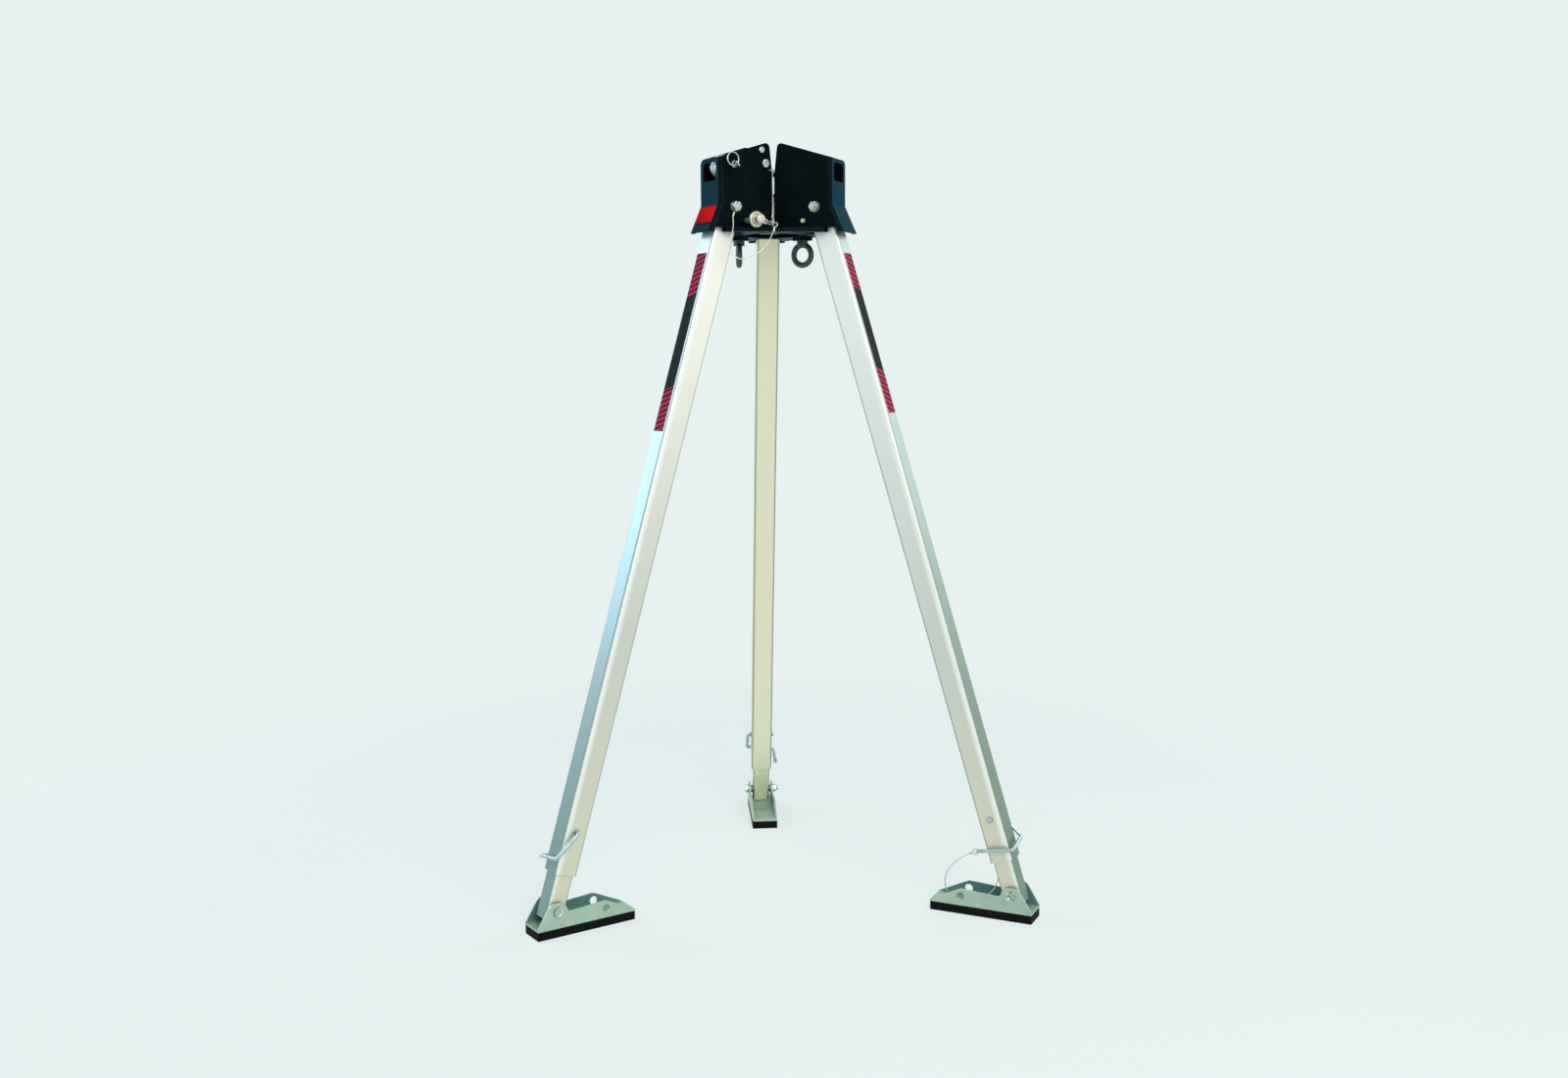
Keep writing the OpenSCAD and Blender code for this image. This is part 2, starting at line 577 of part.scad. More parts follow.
// Foot: a folded steel channel with an ear for the bolt, a dip behind it and a low hump
foot_side = rounded([[-foot_in, -foot_floor - foot_t], [foot_out, -foot_floor - foot_t],
    [foot_out, -foot_floor + 1], [15.5, 17], [-15.5, 17], [-23, -4], [-chain_hole_at, 1],
    [-foot_in, -foot_floor]], [0, 0, 3, 15, 15, 10, 12, 3]);
module foot(k) {
    color([0.62, 0.70, 0.64]) at_foot(k) difference() {
        union() {
            for (s = [0, 1]) mirror([0, s, 0]) slab_y(foot_inside, foot_w / 2) polygon(foot_side);
            translate([-foot_in, -foot_w / 2 + 1, -foot_floor - foot_t])
                cube([foot_in + foot_out, foot_w - 2, foot_t]);
        }
        rod_y(foot_bolt_d / 2 + run_fit, -foot_w, foot_w);
        translate([-chain_hole_at, 0, -chain_hole_drop]) rod_y(chain_hole_r, -foot_w, foot_w);
    }
}
module foot_pad(k) {
    groove_gap = 18;
    groove_w = 5;
    groove_h = 3;
    groove_half = foot_w / 2 - 6;
    grooves = floor((foot_in + foot_out - groove_gap) / groove_gap);
    color([0.05, 0.05, 0.05]) at_foot(k) translate([(foot_out - foot_in) / 2, 0, -foot_bolt_h]) difference() {
        linear_extrude(pad_t) round_rect(foot_in + foot_out, foot_w, 2);
        for (i = [0:grooves - 1])
            translate([(i - (grooves - 1) / 2) * groove_gap - groove_w / 2, -groove_half, -1])
                cube([groove_w, 2 * groove_half, groove_h + 1]);
    }
}
foot_flats = 1.7 * foot_bolt_d;
foot_seat = foot_w / 2 + 2;
module foot_bolt(k) {
    color("silver") at_foot(k) {
        rod_y(foot_bolt_d / 2, -foot_seat - foot_bolt_d, foot_seat + 1);
        hex_y(foot_flats, foot_seat, foot_seat + 0.64 * foot_bolt_d);
    }
}
module foot_nuts(k) {
    bore = foot_bolt_d / 2 + run_fit;
    color("silver") at_foot(k) {
        for (s = [0, 1]) mirror([0, s, 0]) {
            washer_y(bore, foot_bolt_d, foot_w / 2, foot_seat);
            washer_y(bore, 0.9 * foot_bolt_d, inner_w / 2 + face_gap, foot_inside);
        }
        difference() {
            hex_y(foot_flats, -foot_seat - 0.8 * foot_bolt_d, -foot_seat);
            rod_y(foot_bolt_d / 2, -foot_seat - foot_bolt_d, 0);
        }
    }
}

// Lock pin behind each leg: a ball-lock shank, a turned knob with a lug, a push button and a ring
lock_tip = -cheek_half - 6;
knob_h = 9;
hub_h = 4;
button_r = lock_d / 2;
cap_y = knob_y + knob_h + hub_h + button_travel + 1;
lug_t = 4;
lug_y = knob_y + knob_h + lug_t / 2;
lug_hole_at = knob_d / 2 + 2.5;
lug_turn = 167;
ring_r = 12;
ring_wire_r = 1.1;
module lock_pin(k) {
    rim = knob_d / 2;
    neck_end = lock_neck - 7;
    neck = [[0, 0], [lock_d / 2 + 1, 0], [lock_d / 2 + 1, 4], [lock_d / 2 + 4, neck_end], [0, neck_end]];
    knob = rounded([[0, 0], [rim - 4, 0], [rim, 3.5], [rim, knob_h], [button_r + 5, knob_h],
        [button_r + 5, knob_h + hub_h], [0, knob_h + hub_h]], [0, 2, 2, 2, 1, 1, 0]);
    color("silver") at_lock(k) difference() {
        union() {
            rod_y(lock_d / 2, lock_tip + 2, knob_y + 1);
            turned_y(lock_tip) polygon([[0, 0], [lock_d / 2 - 1.5, 0], [lock_d / 2, 2], [0, 2]]);
            for (s = [-1, 1]) translate([0, -cheek_half - 2.6, s * (lock_d / 2 - 1.4)]) sphere(2, $fn = 24);
            turned_y(knob_y) polygon(knob);
            turned_y(cheek_half + 8) polygon(neck);
            rotate([0, lug_turn, 0]) slab_y(lug_y - lug_t / 2, lug_y + lug_t / 2) {
                translate([lug_hole_at, 0]) circle(5);
                translate([button_r + 2, -5]) square([lug_hole_at - button_r - 2, 10]);
            }
        }
        rod_y(button_r + run_fit, knob_y + hub_h - 1, cap_y);
        rotate([0, lug_turn, 0]) translate([lug_hole_at, 0, 0])
            rod_y(2.2, knob_y + knob_h - 1, knob_y + 2 * knob_h);
    }
}
module lock_button(k) {
    cap = rounded([[0, 0], [button_r + 4, 0], [button_r + 4, 8], [0, 8]], [0, 1, 3, 0]);
    color("gainsboro") at_lock(k) {
        rod_y(button_r, knob_y + hub_h + button_travel, cap_y + 1);
        turned_y(cap_y) polygon(cap);
    }
}
module lock_ring(k) {
    color("silver") at_lock(k) rotate([0, lug_turn, 0])
        translate([lug_hole_at + ring_r, lug_y, 0]) torus(ring_r, ring_wire_r);
}

// Steel lanyards. The lock lanyard runs from an eyelet under the left pivot bolt's head to the
// left lock pin's ring; the drop lanyard hangs on the left bracket's inner edge and ends at that ring
function turn_y(v, a) = [v.x * cos(a) + v.z * sin(a), v.y, -v.x * sin(a) + v.z * cos(a)];
lock_mid = [lock_r, 0, lock_z]
    + turn_y([lug_hole_at + ring_r, lug_y, 0], lug_turn);
function on_ring(a, reach) = lock_mid + reach * turn_y([cos(a), sin(a), 0], lug_turn);
eye_slack = ring_eye_r - cable_d / 2 - ring_wire_r - face_gap;
lock_at = 62;
lock_dir = unit([0.3, 0, -1]);
lock_eye = on_ring(lock_at, ring_r) + eye_slack * lock_dir;
lock_end = lock_eye + (ring_eye_r + ferrule_len - 1) * lock_dir;
tail_turn = -20;
tail_dir = turn_y([0, 0, -1], tail_turn);
lock_start = [pivot_r, head_seat + eyelet_t / 2, 0] + (eyelet_r + 2 + ferrule_len) * tail_dir;
drop_at = 102;
drop_eye = [drop_edge, cheek_half - plate_t / 2, drop_h];
drop_top = drop_eye + [0, cable_eye_r, 0];
drop_dir = unit(on_ring(drop_at, ring_r) - drop_top);
drop_start = drop_top + (ferrule_len - 1) * drop_dir;
ring_eye = on_ring(drop_at, ring_r) - eye_slack * drop_dir;
drop_end = ring_eye - (ring_eye_r + ferrule_len - 1) * drop_dir;
lock_rows = [[0, 0, 0, 0], [0.07, 5.5, -0.6, -9], [0.15, 14, -1.4, -21.5], [0.25, 27, -4, -38],
    [0.33, 37, -5.2, -51], [0.39, 40.5, -4.4, -60], [0.44, 38.7, -3.2, -66], [0.51, 32.5, -0.6, -70],
    [0.58, 26, 1, -67.5], [0.66, 17, 1.7, -59], [0.76, 8.5, 1.7, -45], [0.87, 2.3, 0.8, -27],
    [0.96, 0.6, 0.1, -9], [1, 0, 0, 0]];
drop_rows = [[0, 0, 0, 0], [0.12, 0.5, 0.5, 0], [0.3, 0.5, 1, 0], [0.5, 0, 1, 0], [0.7, 0, 1, 0],
    [0.88, 0, 0.5, 0], [1, 0, 0, 0]];
module lock_lanyard() {
    color("gainsboro") at_bracket(0) swept(route(lock_start, lock_end, lock_rows), cable_d / 2, 8);
}
module drop_lanyard() {
    color("gainsboro") at_bracket(0) swept(route(drop_start, drop_end, drop_rows), cable_d / 2, 8);
}
module eyelet() {
    difference() {
        slab_y(0, eyelet_t) {
            circle(eyelet_r);
            translate([-2, -eyelet_r - 4]) square([4, 10]);
        }
        rod_y(pivot_d / 2 + run_fit, -1, eyelet_t + 1);
    }
    translate([0, eyelet_t / 2, -eyelet_r - 2 - ferrule_len]) cylinder(r = ferrule_r, h = ferrule_len);
}
module head_ferrules() {
    color("silver") at_bracket(0) {
        translate([pivot_r, head_seat, 0]) rotate([0, tail_turn, 0]) eyelet();
        ferrule(lock_end, -lock_dir);
        cable_eye(lock_eye, cross(lock_dir, on_ring(lock_at, 1) - lock_mid), ring_eye_r);
        cable_eye(drop_eye, [0, 0, 1], cable_eye_r);
        ferrule(drop_start, -drop_dir);
        ferrule(drop_end, drop_dir);
        cable_eye(ring_eye, cross(drop_dir, on_ring(drop_at, 1) - lock_mid), ring_eye_r);
    }
}

// The leg lanyard runs from the right height pin's tip, through the foot, to the outer tube
tip_eye = keeper_tip - [cable_eye_r, 0, height_pin_s];
leg_dir = unit([-0.97, 0.1, -0.2]);
leg_start = tip_eye - [cable_eye_r, 0, 0] + (ferrule_len - 1) * leg_dir;
tab_at = [-12, tube_w / 2, -tube_bottom + 24];
leg_end = tab_at + [0, ferrule_r + 0.4, -8 - ferrule_len];
leg_fall = (leg_start.z + leg_reach + 1.8) / 104;
leg_hang = [[0, 0, 0, 0], [0, -13, 2, -3.5], [0, -26, 3, -8], [0, -39, 5, -14], [0, -52, 7, -22],
    [0, -63, 9, -32], [0, -71, 10.5, -44], [0, -76, 12, -57], [0, -77, 14, -70], [0, -73, 16, -82],
    [0, -64, 19, -92], [0, -51, 24, -97], [0, -35, 30, -101.5], [0, -20, 37, -104], [0, -4, 44, -102],
    [0, 10.5, 49.5, -93.5], [0, 21, 54.5, -80]];
leg_rows = concat([for (w = leg_hang) [w[0], w[1], w[2], w[3] * leg_fall]],
    [[1, -24, -3, -48], [1, -16, -1, -35], [1, -8, 0, -22], [1, -2, 0, -10], [1, 0, 0, 0]]);
module leg_lanyard() {
    color("gainsboro") at_leg(1) swept(route(leg_start, leg_end, leg_rows), cable_d / 2, 8);
}
module leg_ferrules() {
    color("silver") at_leg(1) {
        cable_eye(tip_eye, [0, 1, 0], cable_eye_r);
        ferrule(leg_start, -leg_dir);
        translate(tab_at) {
            difference() {
                slab_y(0, eyelet_t) {
                    circle(7);
                    translate([-2, -10]) square([4, 10]);
                }
                rod_y(3, -1, eyelet_t + 1);
            }
            rod_y(2.9, 0, eyelet_t + 1);
            turned_y(eyelet_t) polygon([[0, 0], [5, 0], [3.5, 2.2], [0, 2.8]]);
            translate([0, ferrule_r + 0.4, -8 - ferrule_len]) cylinder(r = ferrule_r, h = ferrule_len);
        }
    }
}

bracket(0);  // bracket_left
bracket(1);  // bracket_right
bracket(2);  // bracket_rear
base_plate();
pivot_bolts();
pivot_nuts();
pivot_washers();
eye_nut(0);  // eye_nut_left
eye_nut(1);  // eye_nut_right
eye_bolts();
eye_pads();
outer_pulley();
inner_pulley();
pulley_spacers();
inner_axle_bolt();
rope_keeper_bolt();
pulley_bolt_nuts();
pulley_pin();
pull_ring();
outer_leg(0);  // outer_leg_left
outer_leg(1);  // outer_leg_right
outer_leg(2);  // outer_leg_rear
pivot_sleeve(0);  // pivot_sleeve_left
pivot_sleeve(1);  // pivot_sleeve_right
pivot_sleeve(2);  // pivot_sleeve_rear
inner_leg(0);  // inner_leg_left
inner_leg(1);  // inner_leg_right
inner_leg(2);  // inner_leg_rear
leg_glide(0);  // leg_glide_left
leg_glide(1);  // leg_glide_right
leg_glide(2);  // leg_glide_rear
height_pin(0);  // height_pin_left
height_pin(1);  // height_pin_right
height_pin(2);  // height_pin_rear
foot(0);  // foot_left
foot(1);  // foot_right
foot(2);  // foot_rear
foot_pad(0);  // foot_pad_left
foot_pad(1);  // foot_pad_right
foot_pad(2);  // foot_pad_rear
foot_bolt(0);  // foot_bolt_left
foot_bolt(1);  // foot_bolt_right
foot_bolt(2);  // foot_bolt_rear
foot_nuts(0);  // foot_nuts_left
foot_nuts(1);  // foot_nuts_right
foot_nuts(2);  // foot_nuts_rear
lock_pin(0);  // lock_pin_left
lock_pin(1);  // lock_pin_right
lock_pin(2);  // lock_pin_rear
lock_button(0);  // lock_button_left
lock_button(1);  // lock_button_right
lock_button(2);  // lock_button_rear
lock_ring(0);  // lock_ring_left
lock_ring(1);  // lock_ring_right
lock_ring(2);  // lock_ring_rear
lock_lanyard();
drop_lanyard();
head_ferrules();
leg_lanyard();
leg_ferrules();
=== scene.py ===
import math

import bpy
from mathutils import Matrix, Vector
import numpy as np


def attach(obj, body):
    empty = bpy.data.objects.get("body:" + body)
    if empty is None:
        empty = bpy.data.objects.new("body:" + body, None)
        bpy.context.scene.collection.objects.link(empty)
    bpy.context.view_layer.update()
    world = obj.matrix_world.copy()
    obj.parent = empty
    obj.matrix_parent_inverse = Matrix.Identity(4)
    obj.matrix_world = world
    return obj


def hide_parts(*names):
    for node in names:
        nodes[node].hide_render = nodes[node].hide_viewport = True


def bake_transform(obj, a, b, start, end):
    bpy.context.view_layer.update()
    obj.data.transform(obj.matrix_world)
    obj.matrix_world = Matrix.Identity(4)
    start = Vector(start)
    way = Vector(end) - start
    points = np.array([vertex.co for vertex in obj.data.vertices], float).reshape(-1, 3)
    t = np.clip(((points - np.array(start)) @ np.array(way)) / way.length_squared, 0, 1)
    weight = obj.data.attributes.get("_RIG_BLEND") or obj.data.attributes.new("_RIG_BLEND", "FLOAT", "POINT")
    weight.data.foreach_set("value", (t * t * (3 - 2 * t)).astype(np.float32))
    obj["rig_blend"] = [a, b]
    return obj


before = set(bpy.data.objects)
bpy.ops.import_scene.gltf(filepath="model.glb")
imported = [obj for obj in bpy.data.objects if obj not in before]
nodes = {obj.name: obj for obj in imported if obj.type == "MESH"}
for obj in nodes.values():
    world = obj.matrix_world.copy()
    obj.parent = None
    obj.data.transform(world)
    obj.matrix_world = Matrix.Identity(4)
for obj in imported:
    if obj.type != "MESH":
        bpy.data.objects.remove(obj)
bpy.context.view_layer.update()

# Head brackets
# Three folded 5 mm steel plates, black powder coat, standing round the rope opening.
# The coat has a fine orange peel, and it is rubbed thin along the cut edges and folds. A painted blue sheen
# lies over the black.
HEAD_Y = -133.683
PIVOT_H = 1444.380
AZIMUTH = {"left": 210, "right": 330, "rear": 90}


def on_bracket(side, out, along, up):
    """A bracket's own millimetres (out from the head's middle, along, up from the bolt) in metres."""
    a = math.radians(AZIMUTH[side])
    x = out * math.cos(a) - along * math.sin(a)
    y = out * math.sin(a) + along * math.cos(a)
    return Vector((x, y + HEAD_Y, up + PIVOT_H)) / 1000


def put(tree, kind, inputs=None, **settings):
    """Adds a node, sets it, and joins or fills its sockets."""
    node = tree.nodes.new(kind)
    for key, value in settings.items():
        setattr(node, key, value)
    for key, value in (inputs or {}).items():
        if isinstance(value, bpy.types.NodeSocket):
            tree.links.new(value, node.inputs[key])
        else:
            node.inputs[key].default_value = value
    return node


def new_group(name, ins, outs, kind="Shader"):
    """A node group with its named sockets, and its input and output nodes."""
    tree = bpy.data.node_groups.new(name, kind + "NodeTree")
    for label, form, value in ins:
        socket = tree.interface.new_socket(label, in_out="INPUT", socket_type="NodeSocket" + form)
        if value is not None:
            socket.default_value = value
    for label, form in outs:
        tree.interface.new_socket(label, in_out="OUTPUT", socket_type="NodeSocket" + form)
    return tree, tree.nodes.new("NodeGroupInput"), tree.nodes.new("NodeGroupOutput")


def new_material(name):
    """A material, its node tree and its shader."""
    material = bpy.data.materials.new(name)
    material.use_nodes = True
    return material, material.node_tree, material.node_tree.nodes["Principled BSDF"]


def in_object(tree):
    """The place on a piece, in the piece's own frame."""
    return put(tree, "ShaderNodeTexCoord").outputs["Object"]


def mixed(tree, share, a, b, **settings):
    """A blend of two colours by a share."""
    return put(tree, "ShaderNodeMix", {0: share, 6: a, 7: b}, data_type="RGBA", **settings).outputs[2]


def worked(tree, operation, *values, clamp=False):
    """One sum on numbers."""
    return put(tree, "ShaderNodeMath", dict(enumerate(values)), operation=operation,
               use_clamp=clamp).outputs[0]


def ranged(tree, value, low, high, **settings):
    """A share that goes from 0 to 1 as a value goes from low to high."""
    return put(tree, "ShaderNodeMapRange", {"Value": value, "From Min": low, "From Max": high},
               **settings).outputs[0]


def noise(tree, place, scale, detail, rough=0.5):
    """Soft noise over a place."""
    return put(tree, "ShaderNodeTexNoise", {"Vector": place, "Scale": scale, "Detail": detail,
                                            "Roughness": rough}).outputs[0]


def dot(tree, a, b):
    """One vector's reach along another."""
    return put(tree, "ShaderNodeVectorMath", {0: a, 1: b}, operation="DOT_PRODUCT").outputs["Value"]


edge_rub, g_in, g_out = new_group("edge_rub", [("Reach", "Float", 0.002), ("Breaks", "Float", 120.0)],
                                  [("Mask", "Float")])
rounded_off = put(edge_rub, "ShaderNodeBevel", {"Radius": g_in.outputs["Reach"]}, samples=6)
true_face = put(edge_rub, "ShaderNodeNewGeometry")
turned_by = dot(edge_rub, rounded_off.outputs[0], true_face.outputs["Normal"])
breaks = noise(edge_rub, in_object(edge_rub), g_in.outputs["Breaks"], 3.0)
rubbed_off = worked(edge_rub, "MULTIPLY", ranged(edge_rub, turned_by, 0.985, 0.80),
                    ranged(edge_rub, breaks, 0.40, 0.62), clamp=True)
edge_rub.links.new(rubbed_off, g_out.inputs["Mask"])

fine_grain, g_in, g_out = new_group("fine_grain", [("Vector", "Vector", None), ("Scale", "Float", 700.0)],
                                    [("Height", "Float"), ("Patches", "Float")])
small = noise(fine_grain, g_in.outputs["Vector"], g_in.outputs["Scale"], 4.0, 0.6)
wide_scale = worked(fine_grain, "MULTIPLY", g_in.outputs["Scale"], 0.03)
wide = noise(fine_grain, g_in.outputs["Vector"], wide_scale, 5.0, 0.65)
fine_grain.links.new(small, g_out.inputs["Height"])
fine_grain.links.new(ranged(fine_grain, wide, 0.35, 0.68), g_out.inputs["Patches"])

# Painted shade: an ambient-occlusion mask that darkens seams, recesses and the gaps between parts.
painted_seam_shade, g_in, g_out = new_group("painted_seam_shade", [("Reach", "Float", 0.004)], [("Mask", "Float")])
sheltered = put(painted_seam_shade, "ShaderNodeAmbientOcclusion", {"Distance": g_in.outputs["Reach"]}, samples=6)
painted_seam_shade.links.new(ranged(painted_seam_shade, sheltered.outputs["AO"], 0.92, 0.40), g_out.inputs["Mask"])


def surface(name, metallic, rough, grain, depth, place=in_object):
    """A material with grain in its gloss and relief, and no colour yet; its patches and its gloss."""
    material, tree, shader = new_material(name)
    texture = put(tree, "ShaderNodeGroup", {"Scale": grain, "Vector": place(tree)}, node_tree=fine_grain)
    height, patches = texture.outputs["Height"], texture.outputs["Patches"]
    varied = worked(tree, "MULTIPLY_ADD", height, 0.16, rough - 0.10)
    gloss = worked(tree, "MULTIPLY_ADD", patches, 0.06, varied, clamp=True)
    tree.links.new(gloss, shader.inputs["Roughness"])
    relief = put(tree, "ShaderNodeBump", {"Height": height, "Strength": 0.6, "Distance": depth})
    tree.links.new(relief.outputs[0], shader.inputs["Normal"])
    shader.inputs["Metallic"].default_value = metallic
    return material, patches, gloss


def finish(name, clean, soiled, rubbed, metallic, rough, grain, depth, reach=0.0015, rub=0.6, seam_shade=None):
    """A surface with patchy colour, rubbed edges and, where asked, painted shade (colour and reach) in its
    seams.
    """
    material, patches, _ = surface(name, metallic, rough, grain, depth)
    tree = material.node_tree
    worn = put(tree, "ShaderNodeGroup", {"Reach": reach}, node_tree=edge_rub)
    mask = worked(tree, "MULTIPLY", worn.outputs["Mask"], rub)
    colour = mixed(tree, mask, mixed(tree, patches, (*clean, 1), (*soiled, 1)), (*rubbed, 1))
    if seam_shade:
        # Painted shade: seams and recesses take the given dark colour.
        seams = put(tree, "ShaderNodeGroup", {"Reach": seam_shade[3]}, node_tree=painted_seam_shade)
        colour = mixed(tree, seams.outputs["Mask"], colour, (*seam_shade[:3], 1))
    tree.links.new(colour, tree.nodes["Principled BSDF"].inputs["Base Color"])
    return material


def dress(material, *names):
    """Gives CAD nodes their finish."""
    for name in names:
        nodes[name].data.materials.clear()
        nodes[name].data.materials.append(material)


# Painted sheen: the bluish base colour, the metallic share and the blue specular tint paint a blue reflection
# on the black coat.
black_coat = finish("black_coat", (0.0028, 0.0060, 0.0078), (0.0046, 0.0095, 0.0122), (0.035, 0.058, 0.068),
                    0.62, 0.42, 900.0, 0.00006, reach=0.0012, rub=0.55)
coat_shader = black_coat.node_tree.nodes["Principled BSDF"]
coat_shader.inputs["Specular IOR Level"].default_value = 0.03
coat_shader.inputs["Specular Tint"].default_value = (0.46, 0.72, 0.86, 1)
dress(black_coat, "bracket_left", "bracket_right", "bracket_rear")

# Red label on the left bracket's skirt
# A thin vinyl label, red over a dark foot strip, pressed flat on the flare below the fold.
# It is left bare. Its corners are rounded and its edges stand a hair off the coat.
WEB_FACE, SKIRT_FLARE, FOLD_UP = 152.142, 26 / 56, 5
LABEL_HALF_W, LABEL_HALF_H, LABEL_DROP, LABEL_SHIFT = 30.5, 20.5, 24.5, -0.5
SHEET_THICK, SHEET_SUNK, SHEET_RIM = 0.35, 0.1, 0.25


def rounded_sheet(half_w, half_h, corner, steps=5):
    """The outline of a flat sheet: a rectangle with rounded corners."""
    outline = []
    for cx, cy, start in ((1, 1, 0), (-1, 1, 90), (-1, -1, 180), (1, -1, 270)):
        for i in range(steps + 1):
            a = math.radians(start + 90 * i / steps)
            outline.append((cx * (half_w - corner) + corner * math.cos(a),
                            cy * (half_h - corner) + corner * math.sin(a)))
    return outline


def piece(name, points, faces, material, smooth=None):
    """A finished piece at the origin, its place in its mesh."""
    mesh = bpy.data.meshes.new(name)
    mesh.from_pydata([tuple(p) for p in points], [], faces)
    mesh.update()
    if smooth is not None:
        mesh.shade_smooth()
        mesh.set_sharp_from_angle(angle=math.radians(smooth))
    mesh.materials.append(material)
    body = bpy.data.objects.new(name, mesh)
    bpy.context.scene.collection.objects.link(body)
    return body


def ringed(points, n, caps=True):
    """Faces over rings of n points, one ring after the other, with a cap at each end."""
    faces = [[k + i, k + (i + 1) % n, k + n + (i + 1) % n, k + n + i]
             for k in range(0, len(points) - n, n) for i in range(n)]
    if caps:
        faces += [list(range(n))[::-1], list(range(len(points) - n, len(points)))]
    return faces


def stuck_sheet(name, half_w, half_h, corner, lay, material):
    """A thin sheet with a softened rim and its own UV map, laid where lay(u, v, height) puts it."""
    outline = rounded_sheet(half_w, half_h, corner)
    flat = [(u, v, -SHEET_SUNK) for u, v in outline] + [(u, v, SHEET_THICK * 0.6) for u, v in outline]
    flat += [(u * (1 - SHEET_RIM / half_w), v * (1 - SHEET_RIM / half_h), SHEET_THICK) for u, v in outline]
    sheet = piece(name, [lay(*q) for q in flat], ringed(flat, len(outline)), material)
    chart = sheet.data.uv_layers.new(name="sheet")
    for loop in sheet.data.loops:
        u, v, _ = flat[loop.vertex_index]
        chart.data[loop.index].uv = (0.5 + u / (2 * half_w), 0.5 + v / (2 * half_h))
    return sheet


def on_sheet(tree):
    """The place across and up a sheet, each from 0 to 1."""
    chart = put(tree, "ShaderNodeUVMap", uv_map="sheet")
    split = put(tree, "ShaderNodeSeparateXYZ", {0: chart.outputs[0]})
    return split.outputs["X"], split.outputs["Y"]


def on_left_skirt(u, v, height):
    """The skirt's outer face: u along it, v up the slope, height off the coat, in millimetres."""
    tilt = math.atan(SKIRT_FLARE)
    drop = LABEL_DROP - v
    out = WEB_FACE + drop * math.sin(tilt) + height * math.cos(tilt)
    up = FOLD_UP - drop * math.cos(tilt) + height * math.sin(tilt)
    return on_bracket("left", out, LABEL_SHIFT + u, up)


label_red, tree, shader = new_material("label_red")
across, upward = on_sheet(tree)
fade = noise(tree, in_object(tree), 45.0, 3.0)
sunlit = worked(tree, "MULTIPLY_ADD", across, 0.7, worked(tree, "MULTIPLY", upward, 0.5))
patchy = worked(tree, "MULTIPLY_ADD", fade, 0.5, worked(tree, "SUBTRACT", sunlit, 0.35), clamp=True)
red = mixed(tree, patchy, (0.36, 0.001, 0.005, 1), (0.95, 0.004, 0.007, 1))
foot_strip = worked(tree, "LESS_THAN", upward, 0.13)
tree.links.new(mixed(tree, foot_strip, red, (0.02, 0.014, 0.015, 1)), shader.inputs["Base Color"])
tree.links.new(worked(tree, "MULTIPLY_ADD", fade, 0.2, 0.34), shader.inputs["Roughness"])
shader.inputs["Specular IOR Level"].default_value = 0.008
label = stuck_sheet("skirt_label", LABEL_HALF_W, LABEL_HALF_H, 2.5, on_left_skirt, label_red)
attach(label, "head")

# Base plate and its welds
# A laser-cut 8 mm plate that the six cheeks stand on, coated with them. Each cheek is joined
# to it by one fillet weld along its outer foot, a row of overlapping ripples under the coat.
WELD_ALONG, WELD_UP = 40.8, -41.2
WELD_FROM, WELD_TO, WELD_STEP = 34, 137, 6
BOLT_SIZES = ("flats", "tall", "shank", "reach")
dress(black_coat, "base_plate", "eye_pads")


def made_by(tree, source, name, sizes):
    """Runs a node tree over a source mesh and gives back a plain mesh piece."""
    holder = bpy.data.objects.new(name, source)
    bpy.context.scene.collection.objects.link(holder)
    step = holder.modifiers.new("made", "NODES")
    step.node_group = tree
    for item in tree.interface.items_tree:
        if item.in_out == "INPUT" and item.name in sizes:
            step[item.identifier] = sizes[item.name]
    bpy.context.view_layer.update()
    shape = bpy.data.meshes.new_from_object(holder.evaluated_get(bpy.context.evaluated_depsgraph_get()))
    holder.modifiers.remove(step)
    holder.data = shape
    shape.name = name
    for extra in [a.name for a in shape.attributes if a.name in ("aim", *BOLT_SIZES)]:
        shape.attributes.remove(shape.attributes[extra])
    return holder


def line_mesh(name, runs, closed=False):
    """Open or closed runs of points as a mesh of edges."""
    points, edges = [], []
    for run in runs:
        first = len(points)
        points += [tuple(p) for p in run]
        edges += [(first + i, first + i + 1) for i in range(len(run) - 1)]
        if closed:
            edges.append((len(points) - 1, first))
    mesh = bpy.data.meshes.new(name)
    mesh.from_pydata(points, edges, [])
    return mesh


def new_maker(name, ins):
    """A modifier's node tree: geometry in, its sizes and its finish, and geometry out."""
    tree, g_in, g_out = new_group(name, [("Geometry", "Geometry", None), *ins, ("Finish", "Material", None)],
                                  [("Geometry", "Geometry")], "Geometry")
    tree.is_modifier = True
    return tree, g_in, g_out


def even_line(tree, g_in, step):
    """A maker's source line, cut in even steps."""
    line = put(tree, "GeometryNodeMeshToCurve", {0: g_in.outputs["Geometry"]})
    return put(tree, "GeometryNodeResampleCurve", {"Curve": line.outputs[0], "Length": g_in.outputs[step]},
               mode="LENGTH").outputs[0]


def finished(tree, g_in, g_out, made, smooth=False):
    """Ends a maker with a real mesh, shaded smooth where asked, in its finish."""
    real = put(tree, "GeometryNodeRealizeInstances", {0: made})
    if smooth:
        real = put(tree, "GeometryNodeSetShadeSmooth", {0: real.outputs[0]})
    coated = put(tree, "GeometryNodeSetMaterial", {0: real.outputs[0], "Material": g_in.outputs["Finish"]})
    tree.links.new(coated.outputs[0], g_out.inputs["Geometry"])


